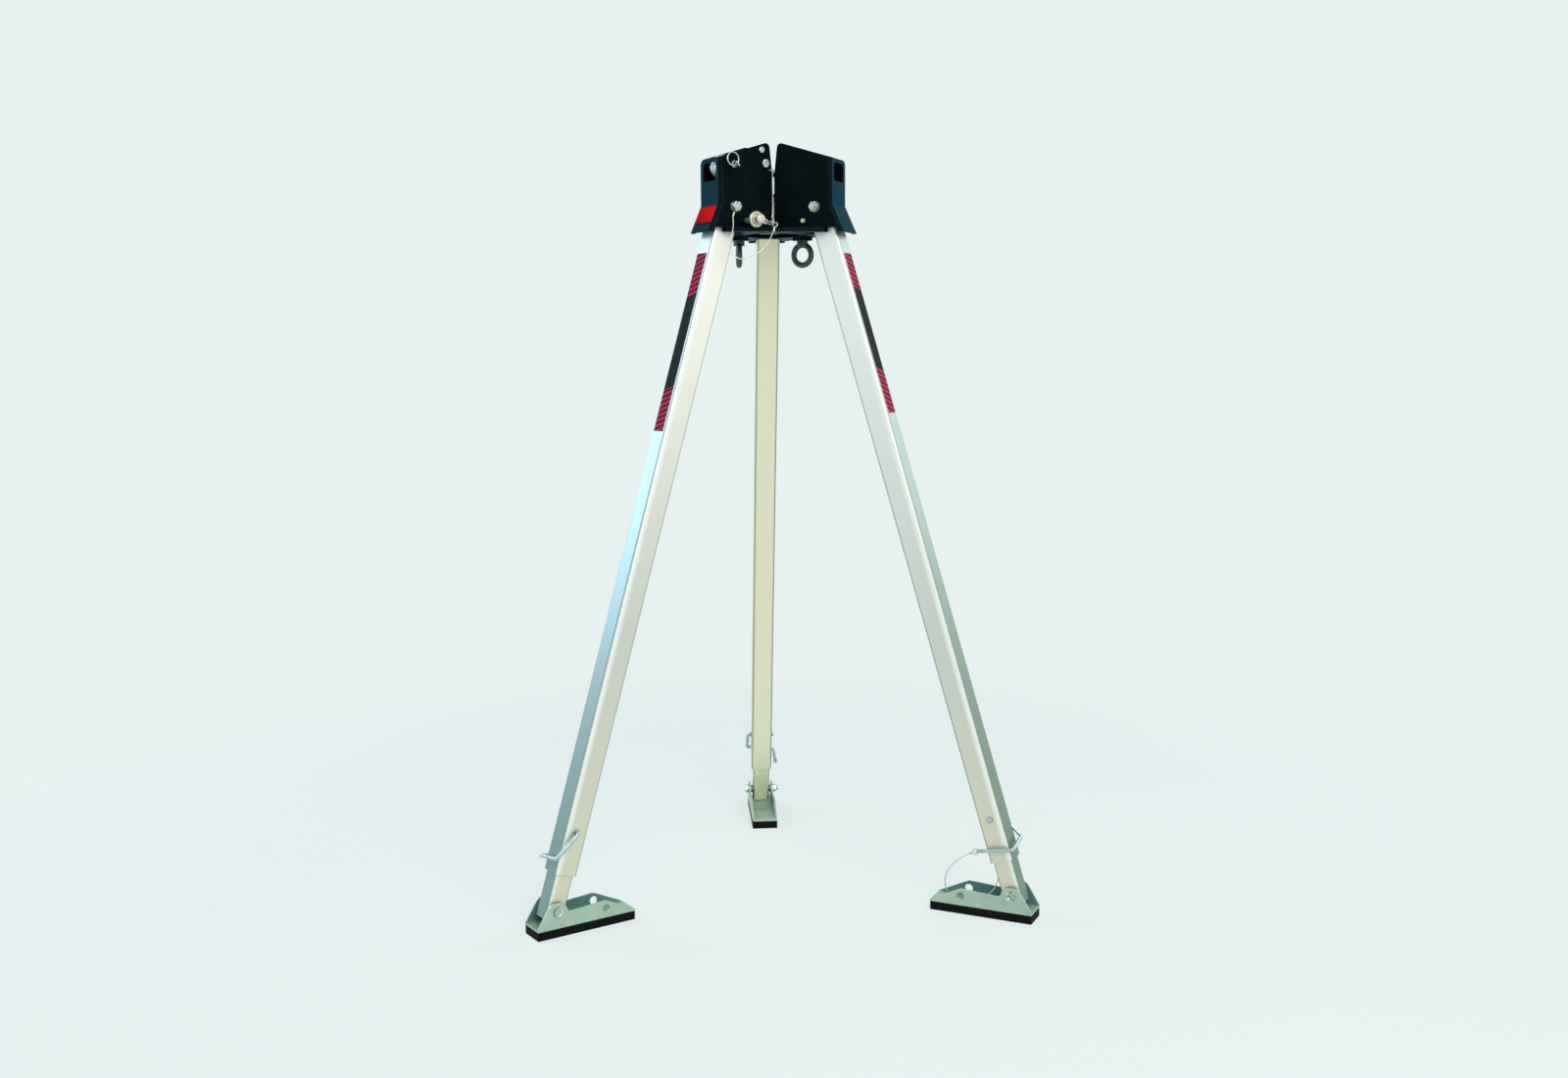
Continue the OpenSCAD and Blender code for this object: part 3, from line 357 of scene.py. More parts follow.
weld_run, g_in, g_out = new_maker("weld_run", [("Pitch", "Float", 0.0022), ("Width", "Float", 0.0056)])
ripple = put(weld_run, "GeometryNodeMeshUVSphere", {"Segments": 10, "Rings": 6, "Radius": 0.5})
tangent = put(weld_run, "GeometryNodeInputTangent")
facing = put(weld_run, "FunctionNodeAlignRotationToVector", {"Vector": tangent.outputs[0]}, axis="X")
vary = put(weld_run, "FunctionNodeRandomValue", {2: 0.86, 3: 1.1, "Seed": 7}, data_type="FLOAT")
wide = worked(weld_run, "MULTIPLY", g_in.outputs["Width"], vary.outputs[1])
size = put(weld_run, "ShaderNodeCombineXYZ", {0: worked(weld_run, "MULTIPLY", wide, 0.85), 1: wide, 2: wide})
row = put(weld_run, "GeometryNodeInstanceOnPoints",
          {"Points": even_line(weld_run, g_in, "Pitch"), "Instance": ripple.outputs[0],
           "Rotation": facing.outputs[0], "Scale": size.outputs[0]})
finished(weld_run, g_in, g_out, row.outputs[0], smooth=True)

runs = [[on_bracket(side, out, along, WELD_UP) for out in range(WELD_FROM, WELD_TO, WELD_STEP)]
        for side in AZIMUTH for along in (-WELD_ALONG, WELD_ALONG)]
welds = made_by(weld_run, line_mesh("welds", runs), "cheek_welds", {"Finish": black_coat})
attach(welds, "head")

# Hex bolts and nuts of the head
# Zinc-plated steel: the three leg pivot bolts, the inner pulley's axle bolt, the rope keeper
# bolt and the two bolts of the eye nuts. The hexagons are chamfered and their crowns dished.
PIVOT_OUT, CHEEK_HALF, CHEEK_GAP, WASHER, EYELET = 117, 40, 1.9, 2.5, 1.6
CHEEK_IN = CHEEK_HALF / math.tan(math.radians(60)) + CHEEK_GAP
AXLE, AXLE_UP = CHEEK_IN + 19, 90
KEEPER_REACH, KEEPER_TURN = 28, math.radians(71)
EYE_OUT, EYE_AZIMUTHS, PLATE_TOP = 78, (150, 30), -41.962
# Painted shade: dark outlines round the hex heads, in the dished crowns and between washer and head.
fasteners = finish("bright_zinc", (0.78, 0.86, 0.82), (0.26, 0.35, 0.31), (0.92, 0.95, 0.93),
                   0.80, 0.30, 5200.0, 0.00002, reach=0.0008, rub=0.8, seam_shade=(0.03, 0.045, 0.04, 0.005))
dress(fasteners, "pivot_washers", "pulley_spacers", "pivot_sleeve_left", "pivot_sleeve_right",
      "pivot_sleeve_rear")


def hex_prism(name):
    """A chamfered hexagon with a dished crown, one unit across flats and one unit tall."""
    n, crown = 48, 0.47
    rings = [[] for _ in range(6)]
    for i in range(n):
        a = 2 * math.pi * i / n
        reach = 0.5 / math.cos((a + math.pi / 6) % (math.pi / 3) - math.pi / 6)
        slope = (reach - crown) * 0.9
        profile = ((crown, 0.0), (reach, slope * 0.6), (reach, 1.0 - slope), (crown, 1.0),
                   (0.33, 1.0), (0.25, 0.84))
        for ring, (r, z) in zip(rings, profile):
            ring.append((r * math.cos(a), r * math.sin(a), z))
    points = [q for ring in rings for q in ring]
    return piece(name, points, ringed(points, n), fasteners)


bolt_set, g_in, g_out = new_maker("bolt_set", [("Hexagon", "Object", None), ("Shank sides", "Int", 32)])


def own(name, kind="FLOAT"):
    """A size that each bolt carries on its point."""
    return put(bolt_set, "GeometryNodeInputNamedAttribute", {"Name": name}, data_type=kind).outputs[0]


def on_bolts(form, wide, tall):
    """A form on each bolt's point, turned its way and scaled by the sizes named."""
    scale = put(bolt_set, "ShaderNodeCombineXYZ", {0: own(wide), 1: own(wide), 2: own(tall)})
    return put(bolt_set, "GeometryNodeInstanceOnPoints",
               {"Points": g_in.outputs["Geometry"], "Instance": form, "Rotation": aimed.outputs[0],
                "Scale": scale.outputs[0]}).outputs[0]


aimed = put(bolt_set, "FunctionNodeAlignRotationToVector", {"Vector": own("aim", "FLOAT_VECTOR")}, axis="Z")
hexagon = put(bolt_set, "GeometryNodeObjectInfo", {"Object": g_in.outputs["Hexagon"]})
rod = put(bolt_set, "GeometryNodeMeshCylinder",
          {"Vertices": g_in.outputs["Shank sides"], "Radius": 0.5, "Depth": 1.0})
below = put(bolt_set, "GeometryNodeTransform", {0: rod.outputs["Mesh"], "Translation": (0.0, 0.0, -0.46)})
both = put(bolt_set, "GeometryNodeJoinGeometry")
bolt_set.links.new(on_bolts(hexagon.outputs["Geometry"], "flats", "tall"), both.inputs[0])
bolt_set.links.new(on_bolts(below.outputs[0], "shank", "reach"), both.inputs[0])
finished(bolt_set, g_in, g_out, both.outputs[0])

hexagon_form = hex_prism("hexagon_form")


def bolts(name, rows):
    """Bolts and nuts from rows of seat, aim, flats, height, shank diameter and shank length in mm."""
    mesh = bpy.data.meshes.new(name)
    mesh.from_pydata([tuple(r[0]) for r in rows], [], [])
    aims = mesh.attributes.new("aim", "FLOAT_VECTOR", "POINT")
    aims.data.foreach_set("vector", [c for r in rows for c in r[1]])
    for k, key in enumerate(BOLT_SIZES, 2):
        mesh.attributes.new(key, "FLOAT", "POINT").data.foreach_set("value", [r[k] / 1000 for r in rows])
    made = made_by(bolt_set, mesh, name, {"Hexagon": hexagon_form, "Finish": fasteners})
    made.data.shade_smooth()
    made.data.set_sharp_from_angle(angle=math.radians(28))
    return made


def crosswise(side, sign):
    """The direction along a bracket's bolts."""
    return (on_bracket(side, 0, sign, 0) - on_bracket(side, 0, 0, 0)).normalized()


rows = []
for side in AZIMUTH:
    seat = CHEEK_HALF + WASHER
    under, shank = (EYELET, 103.0) if side == "left" else (0, 101.5)
    rows.append((on_bracket(side, PIVOT_OUT, seat + under, 0), crosswise(side, 1), 18, 7.56, 12, shank))
    rows.append((on_bracket(side, PIVOT_OUT, -seat, 0), crosswise(side, -1), 18, 9.6, 6, 1))
keeper_out = AXLE + KEEPER_REACH * math.cos(KEEPER_TURN)
keeper_up = AXLE_UP + KEEPER_REACH * math.sin(KEEPER_TURN)
rows += [(on_bracket("left", AXLE, CHEEK_HALF, AXLE_UP), crosswise("left", 1), 15, 7, 10, 95),
         (on_bracket("left", AXLE, -CHEEK_HALF, AXLE_UP), crosswise("left", -1), 15, 9.6, 5, 1),
         (on_bracket("left", keeper_out, CHEEK_HALF, keeper_up), crosswise("left", 1), 11.2, 5, 7, 93),
         (on_bracket("left", keeper_out, -CHEEK_HALF, keeper_up), crosswise("left", -1), 11.2, 6, 3.5, 1)]
for a in map(math.radians, EYE_AZIMUTHS):
    seat = Vector((EYE_OUT * math.cos(a), EYE_OUT * math.sin(a) + HEAD_Y, PIVOT_H + PLATE_TOP)) / 1000
    rows.append((seat, (0, 0, 1), 18, 7.56, 12, 27))
head_bolts = bolts("head_bolts", rows)
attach(head_bolts, "head")
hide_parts("pivot_bolts", "pivot_nuts", "inner_axle_bolt", "rope_keeper_bolt",
            "pulley_bolt_nuts", "eye_bolts")

# Eye nuts
# Two drop-forged anchor eyes under the base plate, heat-blackened steel with a scaly skin.
# Each screws on its bolt's end against the square pad.
forged = finish("forged_steel", (0.050, 0.066, 0.066), (0.085, 0.105, 0.102), (0.26, 0.29, 0.285),
                0.55, 0.46, 320.0, 0.0004, reach=0.003, rub=0.7)
dress(forged, "eye_nut_left", "eye_nut_right")

# Rope pulleys
# Turned aluminium wheels with a rope groove, running between spacer tubes in the left bracket.
pulley_metal = finish("turned_pulley", (0.86, 0.90, 0.90), (0.76, 0.80, 0.79), (0.92, 0.93, 0.93),
                      0.30, 0.36, 900.0, 0.00003, reach=0.001)
dress(pulley_metal, "outer_pulley", "inner_pulley")

# Quick pin of the outer pulley and its pull ring
# Bright stainless steel. The pin slides out along its own axis and the split ring hangs in its tab.
# The split rings of the lock pins are of the same wire.
# Painted shade in the seams and recesses of the pins and rings.
bright_steel = finish("bright_steel", (0.62, 0.65, 0.62), (0.44, 0.47, 0.44), (0.84, 0.85, 0.83),
                      1.0, 0.26, 3200.0, 0.00001, reach=0.0005, seam_shade=(0.04, 0.05, 0.045, 0.004))
dress(bright_steel, "pulley_pin", "pull_ring", "lock_ring_left", "lock_ring_right", "lock_ring_rear")

# Lock pins behind the legs
# Ball-lock pins in nickel-plated steel with a warm tone, each with a push button in its knob.
# Painted shade in the seams of the lock pins and round their buttons.
lock_metal = finish("lock_pin_nickel", (0.78, 0.75, 0.62), (0.60, 0.57, 0.45), (0.92, 0.90, 0.82),
                    0.70, 0.34, 2600.0, 0.00002, reach=0.0008, seam_shade=(0.06, 0.055, 0.04, 0.006))
for side in AZIMUTH:
    dress(lock_metal, "lock_pin_" + side, "lock_button_" + side)

# Outer and inner leg tubes
# Extruded 50 mm square aluminium with the inner tube sliding in it, mill finish: die lines run
# down each face and the sides have a warm cast. The outer faces carry a painted cool reflection, most faces
# are painted lighter at the head and darker towards the foot, and there is a painted highlight band by the
# outer corner and painted shade along the inner corners.
LEG_LEAN = math.radians(17)
TUBE_HALF = 25


def on_leg(side, n, t, s):
    """A leg's own millimetres (out from its middle, across, up from the pivot bolt) in metres."""
    out = PIVOT_OUT + n * math.cos(LEG_LEAN) - s * math.sin(LEG_LEAN)
    return on_bracket(side, out, t, n * math.sin(LEG_LEAN) + s * math.cos(LEG_LEAN))


def leg_axis(side, n, t, s):
    """A direction of a leg's own frame."""
    return (on_leg(side, n, t, s) - on_leg(side, 0, 0, 0)).normalized()


leg_frame, g_in, g_out = new_group(
    "leg_frame",
    [("Outward", "Vector", (1, 0, 0)), ("Across", "Vector", (0, 1, 0)), ("Upward", "Vector", (0, 0, 1)),
     ("Outer corner", "Float", 0.0)],
    [("Drawn", "Vector"), ("Outer face", "Float"), ("Corner", "Float"), ("Band", "Float"),
     ("Height", "Float")])
place = in_object(leg_frame)
normal = put(leg_frame, "ShaderNodeNewGeometry").outputs["Normal"]
off, across, height = [dot(leg_frame, place, g_in.outputs[name]) for name in ("Outward", "Across", "Upward")]
turned_out, turned_across = [dot(leg_frame, normal, g_in.outputs[name]) for name in ("Outward", "Across")]
drawn = put(leg_frame, "ShaderNodeCombineXYZ",
            {0: off, 1: across, 2: worked(leg_frame, "MULTIPLY", height, 0.012)})
flat = worked(leg_frame, "MAXIMUM", worked(leg_frame, "ABSOLUTE", turned_out),
              worked(leg_frame, "ABSOLUTE", turned_across))
# Corner: the rounded corners turned away from the outward side, where painted shade goes.
corner = worked(leg_frame, "MULTIPLY", ranged(leg_frame, flat, 0.99, 0.82),
                ranged(leg_frame, turned_out, 0.0, -0.2))
# Band: the strip of the inner face next to the outer corner, where a painted highlight goes.
behind = worked(leg_frame, "SUBTRACT", g_in.outputs["Outer corner"], off)
for name, value in (("Drawn", drawn.outputs[0]), ("Outer face", ranged(leg_frame, turned_out, 0.3, 0.8)),
                    ("Corner", corner), ("Band", ranged(leg_frame, behind, 0.016, 0.008)),
                    ("Height", height)):
    leg_frame.links.new(value, g_out.inputs[name])

# Tones at the head, part of the way down and at the foot: painted light, lighter at the head and darker down
# the leg, the outer tones a painted cool reflection.
LEG_INNER = {"left": ((0.98, 0.95, 0.85), (0.68, 0.69, 0.62), (0.74, 0.72, 0.56)),
             "right": ((0.93, 0.97, 0.95), (0.69, 0.71, 0.66), (0.74, 0.72, 0.57)),
             "rear": ((0.94, 0.90, 0.65), (0.92, 0.88, 0.64), (0.92, 0.88, 0.65))}
LEG_OUTER = {"left": ((0.57, 0.66, 0.71), (0.37, 0.48, 0.52), (0.24, 0.38, 0.37)),
             "right": ((0.50, 0.52, 0.46), (0.31, 0.37, 0.31), (0.20, 0.30, 0.22)),
             "rear": ((0.56, 0.62, 0.62), (0.44, 0.51, 0.50), (0.34, 0.42, 0.39))}
TONE_TOP, TONE_MIDDLE = 1.15, 0.63


def down_leg(tree, height, tones):
    """A tone that changes from the head down to the foot, by height along the leg in metres."""
    ramp = put(tree, "ShaderNodeValToRGB", {"Fac": ranged(tree, height, TONE_TOP, 0.0)})
    ramp.color_ramp.elements.new(TONE_MIDDLE)
    for stop, tone in zip(ramp.color_ramp.elements, tones):
        stop.color = (*tone, 1)
    return ramp.outputs["Color"]


def leg_metal(side):
    """The extruded finish of one leg, its die lines along that leg, with painted light: tones darker down the
    leg, a cool reflection on the outer faces, a highlight band and shaded inner corners.
    """
    of_leg = {}

    def drawn_lines(tree):
        axes = {"Outward": leg_axis(side, 1, 0, 0), "Across": leg_axis(side, 0, 1, 0),
                "Upward": leg_axis(side, 0, 0, 1)}
        axes["Outer corner"] = on_leg(side, TUBE_HALF, 0, 0).dot(axes["Outward"])
        of_leg.update(put(tree, "ShaderNodeGroup", axes, node_tree=leg_frame).outputs.items())
        return of_leg["Drawn"]

    material, _, gloss = surface("leg_aluminium_" + side, 0.60, 0.40, 700.0, 0.00006, drawn_lines)
    tree = material.node_tree
    # Painted highlight: a near-white band on the inner face beside the outer corner.
    rim = worked(tree, "MULTIPLY", of_leg["Band"], 0.9)
    inner = mixed(tree, rim, down_leg(tree, of_leg["Height"], LEG_INNER[side]), (1.0, 1.0, 0.97, 1))
    # Painted reflection: the outer faces take the cool outer tones.
    faces = mixed(tree, of_leg["Outer face"], inner, down_leg(tree, of_leg["Height"], LEG_OUTER[side]))
    lined = mixed(tree, ranged(tree, gloss, 0.30, 0.46), faces, (0.95, 0.955, 0.95, 1), blend_type="MULTIPLY")
    # Painted shade: a dark green-grey along the inner rounded corners.
    corners = worked(tree, "MULTIPLY", of_leg["Corner"], 0.85)
    tree.links.new(mixed(tree, corners, lined, (0.16, 0.22, 0.18, 1)),
                   tree.nodes["Principled BSDF"].inputs["Base Color"])
    return material


for side in AZIMUTH:
    dress(leg_metal(side), "outer_leg_" + side, "inner_leg_" + side)

# Glide plugs
# Black moulded nylon plugs in the tops of the inner tubes, out of sight inside the legs.
glide_nylon = finish("glide_nylon", (0.030, 0.030, 0.032), (0.045, 0.045, 0.046), (0.10, 0.10, 0.10),
                     0.0, 0.55, 600.0, 0.00005)
dress(glide_nylon, "leg_glide_left", "leg_glide_right", "leg_glide_rear")

# Marking strips on the front legs
# Printed vinyl strips down the outer faces of the left and right legs: slanted crimson and black
# bars at both ends and a plain black field between them, left bare.
STRIP_TOP, STRIP_HALF_W = -104.0, 18
BAR_PITCH, BAR_BLACK = 11.0, 0.42
STRIPS = {"left": (10.0, 374.0, 88.0, 284.0), "right": (-10.0, 339.0, 74.0, 246.0)}
for side, (slant, length, upper, lower) in STRIPS.items():
    material, tree, shader = new_material("marking_vinyl_" + side)
    across, upward = on_sheet(tree)
    down = worked(tree, "MULTIPLY", worked(tree, "SUBTRACT", 1.0, upward), length)
    along = worked(tree, "MULTIPLY_ADD", worked(tree, "SUBTRACT", across, 0.5), slant, down)
    turn = worked(tree, "FRACT", worked(tree, "DIVIDE", along, BAR_PITCH))
    middle = worked(tree, "COMPARE", along, (upper + lower) / 2, (lower - upper) / 2)
    ends = worked(tree, "MULTIPLY", worked(tree, "GREATER_THAN", turn, BAR_BLACK),
                  worked(tree, "SUBTRACT", 1.0, middle))
    fade = noise(tree, in_object(tree), 60.0, 4.0)
    crimson = mixed(tree, fade, (0.50, 0.014, 0.070, 1), (0.66, 0.030, 0.115, 1))
    black = mixed(tree, fade, (0.005, 0.004, 0.006, 1), (0.013, 0.010, 0.012, 1))
    tree.links.new(mixed(tree, ends, black, crimson), shader.inputs["Base Color"])
    tree.links.new(worked(tree, "MULTIPLY_ADD", fade, 0.22, 0.30), shader.inputs["Roughness"])
    shader.inputs["Specular IOR Level"].default_value = 0.02

    def on_face(u, v, h):
        return on_leg(side, TUBE_HALF + h, u, STRIP_TOP - length / 2 + v)

    strip = stuck_sheet("leg_marking_" + side, STRIP_HALF_W, length / 2, 2, on_face, material)
    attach(strip, "leg_" + side)

# Height pins
# A 12 mm steel pin through both tubes of each leg with an 8 mm wire keeper bent round the
# leg's outer face and flattened to an eye at its tip. Zinc plated.
PIN_S = -1296.0
KEEPER_CORNER = Vector((34, -34, -66))
KEEPER_TIP = Vector((-39, -34, -56))
KEEPER_BEND = 5
# Painted shade: a dark ring round the pin where it enters the leg, and in the keeper's seams.
pin_zinc = finish("pin_zinc", (0.50, 0.62, 0.61), (0.34, 0.45, 0.44), (0.80, 0.86, 0.84),
                  0.95, 0.30, 3200.0, 0.00002, reach=0.0006, seam_shade=(0.02, 0.035, 0.032, 0.008))

bent_wire, g_in, g_out = new_maker("bent_wire", [("Wire radius", "Float", 0.004), ("Sides", "Int", 24)])
line = put(bent_wire, "GeometryNodeMeshToCurve", {0: g_in.outputs["Geometry"]})
ring = put(bent_wire, "GeometryNodeCurvePrimitiveCircle", {"Resolution": g_in.outputs["Sides"],
                                                           "Radius": g_in.outputs["Wire radius"]})
wire = put(bent_wire, "GeometryNodeCurveToMesh", {"Curve": line.outputs[0], "Profile Curve": ring.outputs[0],
                                                  "Fill Caps": True})
finished(bent_wire, g_in, g_out, wire.outputs[0])


def bend(points, radius, steps=10):
    """A run of points with its inner corners rounded."""
    p = [Vector(q) for q in points]
    run = [p[0]]
    for a, b, c in zip(p, p[1:], p[2:]):
        u, w = (a - b).normalized(), (c - b).normalized()
        half = u.angle(w) / 2
        middle = b + (u + w).normalized() * radius / math.sin(half)
        e1 = (b + u * radius / math.tan(half) - middle).normalized()
        e2 = w.cross(u).normalized().cross(e1)
        turn = math.pi - 2 * half
        run += [middle + radius * (math.cos(turn * i / steps) * e1 + math.sin(turn * i / steps) * e2)
                for i in range(steps + 1)]
    return run + [p[-1]]


def circle(axis, n):
    """The directions of n even steps round an axis."""
    x = axis.orthogonal().normalized()
    y = axis.cross(x)
    turns = [2 * math.pi * i / n for i in range(n)]
    return [x * math.cos(a) + y * math.sin(a) for a in turns]


def lathed(name, profile, start, axis, material, sides=40, smooth=30):
    """A turned piece: a profile of (radius, distance) in mm about an axis through a point in metres."""
    axis = Vector(axis).normalized()
    around = circle(axis, sides)
    points = [start + (axis * d + way * r) / 1000 for r, d in profile for way in around]
    return piece(name, points, ringed(points, sides, caps=profile[0] != profile[-1]), material, smooth)


def joined(name, parts):
    """Several meshes made one piece."""
    with bpy.context.temp_override(active_object=parts[0], selected_editable_objects=parts):
        bpy.ops.object.join()
    parts[0].name = name
    parts[0].data.name = name
    return parts[0]


for side in AZIMUTH:
    def at_pin(n, t, s):
        return on_leg(side, n, t, PIN_S + s)

    tail = KEEPER_TIP + 4 * (KEEPER_CORNER - KEEPER_TIP).normalized()
    path = bend([(0, 26, 0), (0, 34, 0), (34, 34, -56), KEEPER_CORNER, tail], KEEPER_BEND)
    keeper = made_by(bent_wire, line_mesh("keeper", [[at_pin(*q) for q in path]]), "keeper_wire",
                     {"Finish": pin_zinc})
    keeper.data.shade_smooth()
    keeper.data.set_sharp_from_angle(angle=math.radians(40))
    pin = lathed("pin", [(3.0, -31), (4.2, -30.6), (6.0, -28), (6.0, 26.5), (5.4, 27.5), (4.2, 27.9)],
                 at_pin(0, 0, 0), leg_axis(side, 0, 1, 0), pin_zinc)
    eye = lathed("eye", [(2.4, -1.6), (2.8, -2.0), (5.0, -2.0), (5.5, -1.5), (5.5, 1.5), (5.0, 2.0),
                         (2.8, 2.0), (2.4, 1.6), (2.4, -1.6)],
                 at_pin(*KEEPER_TIP), leg_axis(side, 0, 0, 1), pin_zinc)
    whole = joined("height_pin_bent_" + side, [pin, keeper, eye])
    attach(whole, "height_pin_" + side)
    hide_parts("height_pin_" + side)

# Feet
# Folded 4 mm steel channels with a bolt ear and a chain hole, zinc plated with a green-grey cast.
# The inside walls of the channels are painted darker and bluer, as painted shade.
# Painted shade: a mask of the channels' inside walls.
channel_side, g_in, g_out = new_group(
    "channel_side", [("Across", "Vector", (0, 1, 0)), ("Middle", "Float", 0.0)], [("Inside", "Float")])
place = put(channel_side, "ShaderNodeTexCoord")
spot = dot(channel_side, place.outputs["Object"], g_in.outputs["Across"])
off_middle = worked(channel_side, "ABSOLUTE", worked(channel_side, "SUBTRACT", spot, g_in.outputs["Middle"]))
facing = dot(channel_side, place.outputs["Normal"], g_in.outputs["Across"])
upright = ranged(channel_side, worked(channel_side, "ABSOLUTE", facing), 0.3, 0.7)
inside = worked(channel_side, "MULTIPLY", ranged(channel_side, off_middle, 0.0290, 0.0275), upright)
channel_side.links.new(inside, g_out.inputs["Inside"])

for side in AZIMUTH:
    foot_zinc = finish("foot_zinc_" + side, (0.48, 0.62, 0.50), (0.35, 0.49, 0.39), (0.74, 0.83, 0.75),
                       0.62, 0.44, 500.0, 0.00006, reach=0.0012)
    tree = foot_zinc.node_tree
    base = tree.nodes["Principled BSDF"].inputs["Base Color"]
    bolts_way = crosswise(side, 1)
    middle = on_bracket(side, 0, 0, 0).dot(bolts_way)
    walls = put(tree, "ShaderNodeGroup", {"Across": bolts_way, "Middle": middle}, node_tree=channel_side)
    # Painted shade: the inside walls take a dark blue-green.
    shaded = worked(tree, "MULTIPLY", walls.outputs["Inside"], 0.85)
    tree.links.new(mixed(tree, shaded, base.links[0].from_socket, (0.12, 0.26, 0.29, 1)), base)
    dress(foot_zinc, "foot_" + side)

# Foot bolts
# An M10 hex bolt through each foot and the inner tube's end, with a nut, a washer under each
# and a spacer tube on each side of the tube.
FOOT_BOLT_S, FOOT_SEAT = -1456, 0.032
for side in AZIMUTH:
    centre = on_leg(side, 0, 0, FOOT_BOLT_S)
    head_way, nut_way = crosswise(side, 1), crosswise(side, -1)
    parts = [bolts("bolt", [(centre + head_way * FOOT_SEAT, head_way, 17, 6.4, 10, 80),
                            (centre + nut_way * FOOT_SEAT, nut_way, 17, 8, 5, 1)])]
    for away in (head_way, nut_way):
        parts.append(lathed("washer", [(5.1, 30), (10, 30), (10, 31.6), (9.6, 32), (5.1, 32), (5.1, 30)],
                            centre, away, fasteners))
        parts.append(lathed("spacer", [(5.1, 20.8), (9, 20.8), (9, 26), (5.1, 26), (5.1, 20.8)],
                            centre, away, fasteners))
    whole = joined("foot_bolt_set_" + side, parts)
    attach(whole, "foot_" + side)
    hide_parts("foot_bolt_" + side, "foot_nuts_" + side)
bpy.data.objects.remove(hexagon_form)

# Rubber pads
# Moulded black rubber soles bonded under the feet, grooved across for grip.
sole_rubber = finish("sole_rubber", (0.0030, 0.0042, 0.0036), (0.0065, 0.0080, 0.0070), (0.022, 0.025, 0.023),
                     0.0, 0.72, 420.0, 0.0002, reach=0.002, rub=0.7)
sole_rubber.node_tree.nodes["Principled BSDF"].inputs["Specular IOR Level"].default_value = 0.08
dress(sole_rubber, "foot_pad_left", "foot_pad_right", "foot_pad_rear")

# Wire lanyards
# Clear-coated steel cable, six strands laid round a core, with crimped sleeves and small eyes.
# One keeps the left lock pin on its pivot bolt, one hangs from the bracket, one keeps a height pin.
CABLE_D, STRANDS, CABLE_SIDES = 2.5, 6, 30
cable_steel = finish("cable_steel", (0.66, 0.68, 0.66), (0.52, 0.54, 0.52), (0.80, 0.80, 0.78),
                     0.85, 0.34, 1800.0, 0.00002, reach=0.0003)

wire_rope, g_in, g_out = new_maker(
    "wire_rope", [("Radius", "Float", CABLE_D / 2000), ("Step", "Float", 0.0011), ("Lay", "Float", 0.018)])
travelled = put(wire_rope, "GeometryNodeSplineParameter").outputs["Length"]
lays = worked(wire_rope, "DIVIDE", travelled, g_in.outputs["Lay"])
turns = worked(wire_rope, "MULTIPLY", lays, 2 * math.pi)
twisted = put(wire_rope, "GeometryNodeSetCurveTilt",
              {"Curve": even_line(wire_rope, g_in, "Step"), "Tilt": turns})
round_line = put(wire_rope, "GeometryNodeCurvePrimitiveCircle",
                 {"Resolution": CABLE_SIDES, "Radius": g_in.outputs["Radius"]})
step_no = put(wire_rope, "GeometryNodeInputIndex")
wave = worked(wire_rope, "COSINE",
              worked(wire_rope, "MULTIPLY", step_no.outputs[0], 2 * math.pi * STRANDS / CABLE_SIDES))
lobes = worked(wire_rope, "MULTIPLY_ADD", wave, 0.075, 0.925)
spot = put(wire_rope, "GeometryNodeInputPosition")
strands = put(wire_rope, "ShaderNodeVectorMath", {0: spot.outputs[0], "Scale": lobes}, operation="SCALE")
section = put(wire_rope, "GeometryNodeSetPosition", {"Geometry": round_line.outputs[0],
                                                     "Position": strands.outputs[0]})
tube = put(wire_rope, "GeometryNodeCurveToMesh",
           {"Curve": twisted.outputs[0], "Profile Curve": section.outputs[0], "Fill Caps": True})
finished(wire_rope, g_in, g_out, tube.outputs[0], smooth=True)


def smooth_run(points, steps=8):
    """A smooth line through a lanyard's points."""
    p = [points[0] * 2 - points[1], *points, points[-1] * 2 - points[-2]]
    run = []
    for a, b, c, d in zip(p, p[1:], p[2:], p[3:]):
        for i in range(steps):
            u = i / steps
            run.append(0.5 * (2 * b + (c - a) * u + (2 * a - 5 * b + 4 * c - d) * u ** 2
                              + (3 * b - a - 3 * c + d) * u ** 3))
    return run + [points[-1]]


def lanyard(name, points):
    """A lanyard's cable as a mesh, with the line that it follows and its length."""
    run = smooth_run(points)
    length = sum((b - a).length for a, b in zip(run, run[1:]))
    return made_by(wire_rope, line_mesh(name, [run]), name, {"Finish": cable_steel}), run, length


def cable_loop(middle, axis, radius):
    """The small closed eye at a cable's end."""
    run = [middle + way * radius / 1000 for way in circle(Vector(axis).normalized(), 48)]
    return made_by(wire_rope, line_mesh("loop", [run], closed=True), "loop", {"Finish": cable_steel})


def sleeve(start, towards):
    """A crimped sleeve, 10 mm long, with two pressed waists."""
    profile = [(1.3, 0.0), (2.2, 0.0), (2.6, 0.5), (2.6, 2.2), (2.3, 2.8), (2.3, 4.0), (2.6, 4.6), (2.6, 5.6),
               (2.3, 6.2), (2.3, 7.2), (2.6, 7.8), (2.6, 9.5), (2.2, 10.0), (1.3, 10.0)]
    return lathed("sleeve", profile, start, towards, bright_steel, sides=24, smooth=35)


def route(a, b, rows):
    """A lanyard's points: each a share of the way from a to b, and its own offset, in millimetres."""
    return [a * (1 - w[0]) + b * w[0] + Vector(w[1:]) for w in rows]


def about_t(v, degrees):
    """A direction of the bracket's frame turned about its bolts' direction."""
    a = math.radians(degrees)
    return Vector((v[0] * math.cos(a) + v[2] * math.sin(a), v[1], -v[0] * math.sin(a) + v[2] * math.cos(a)))


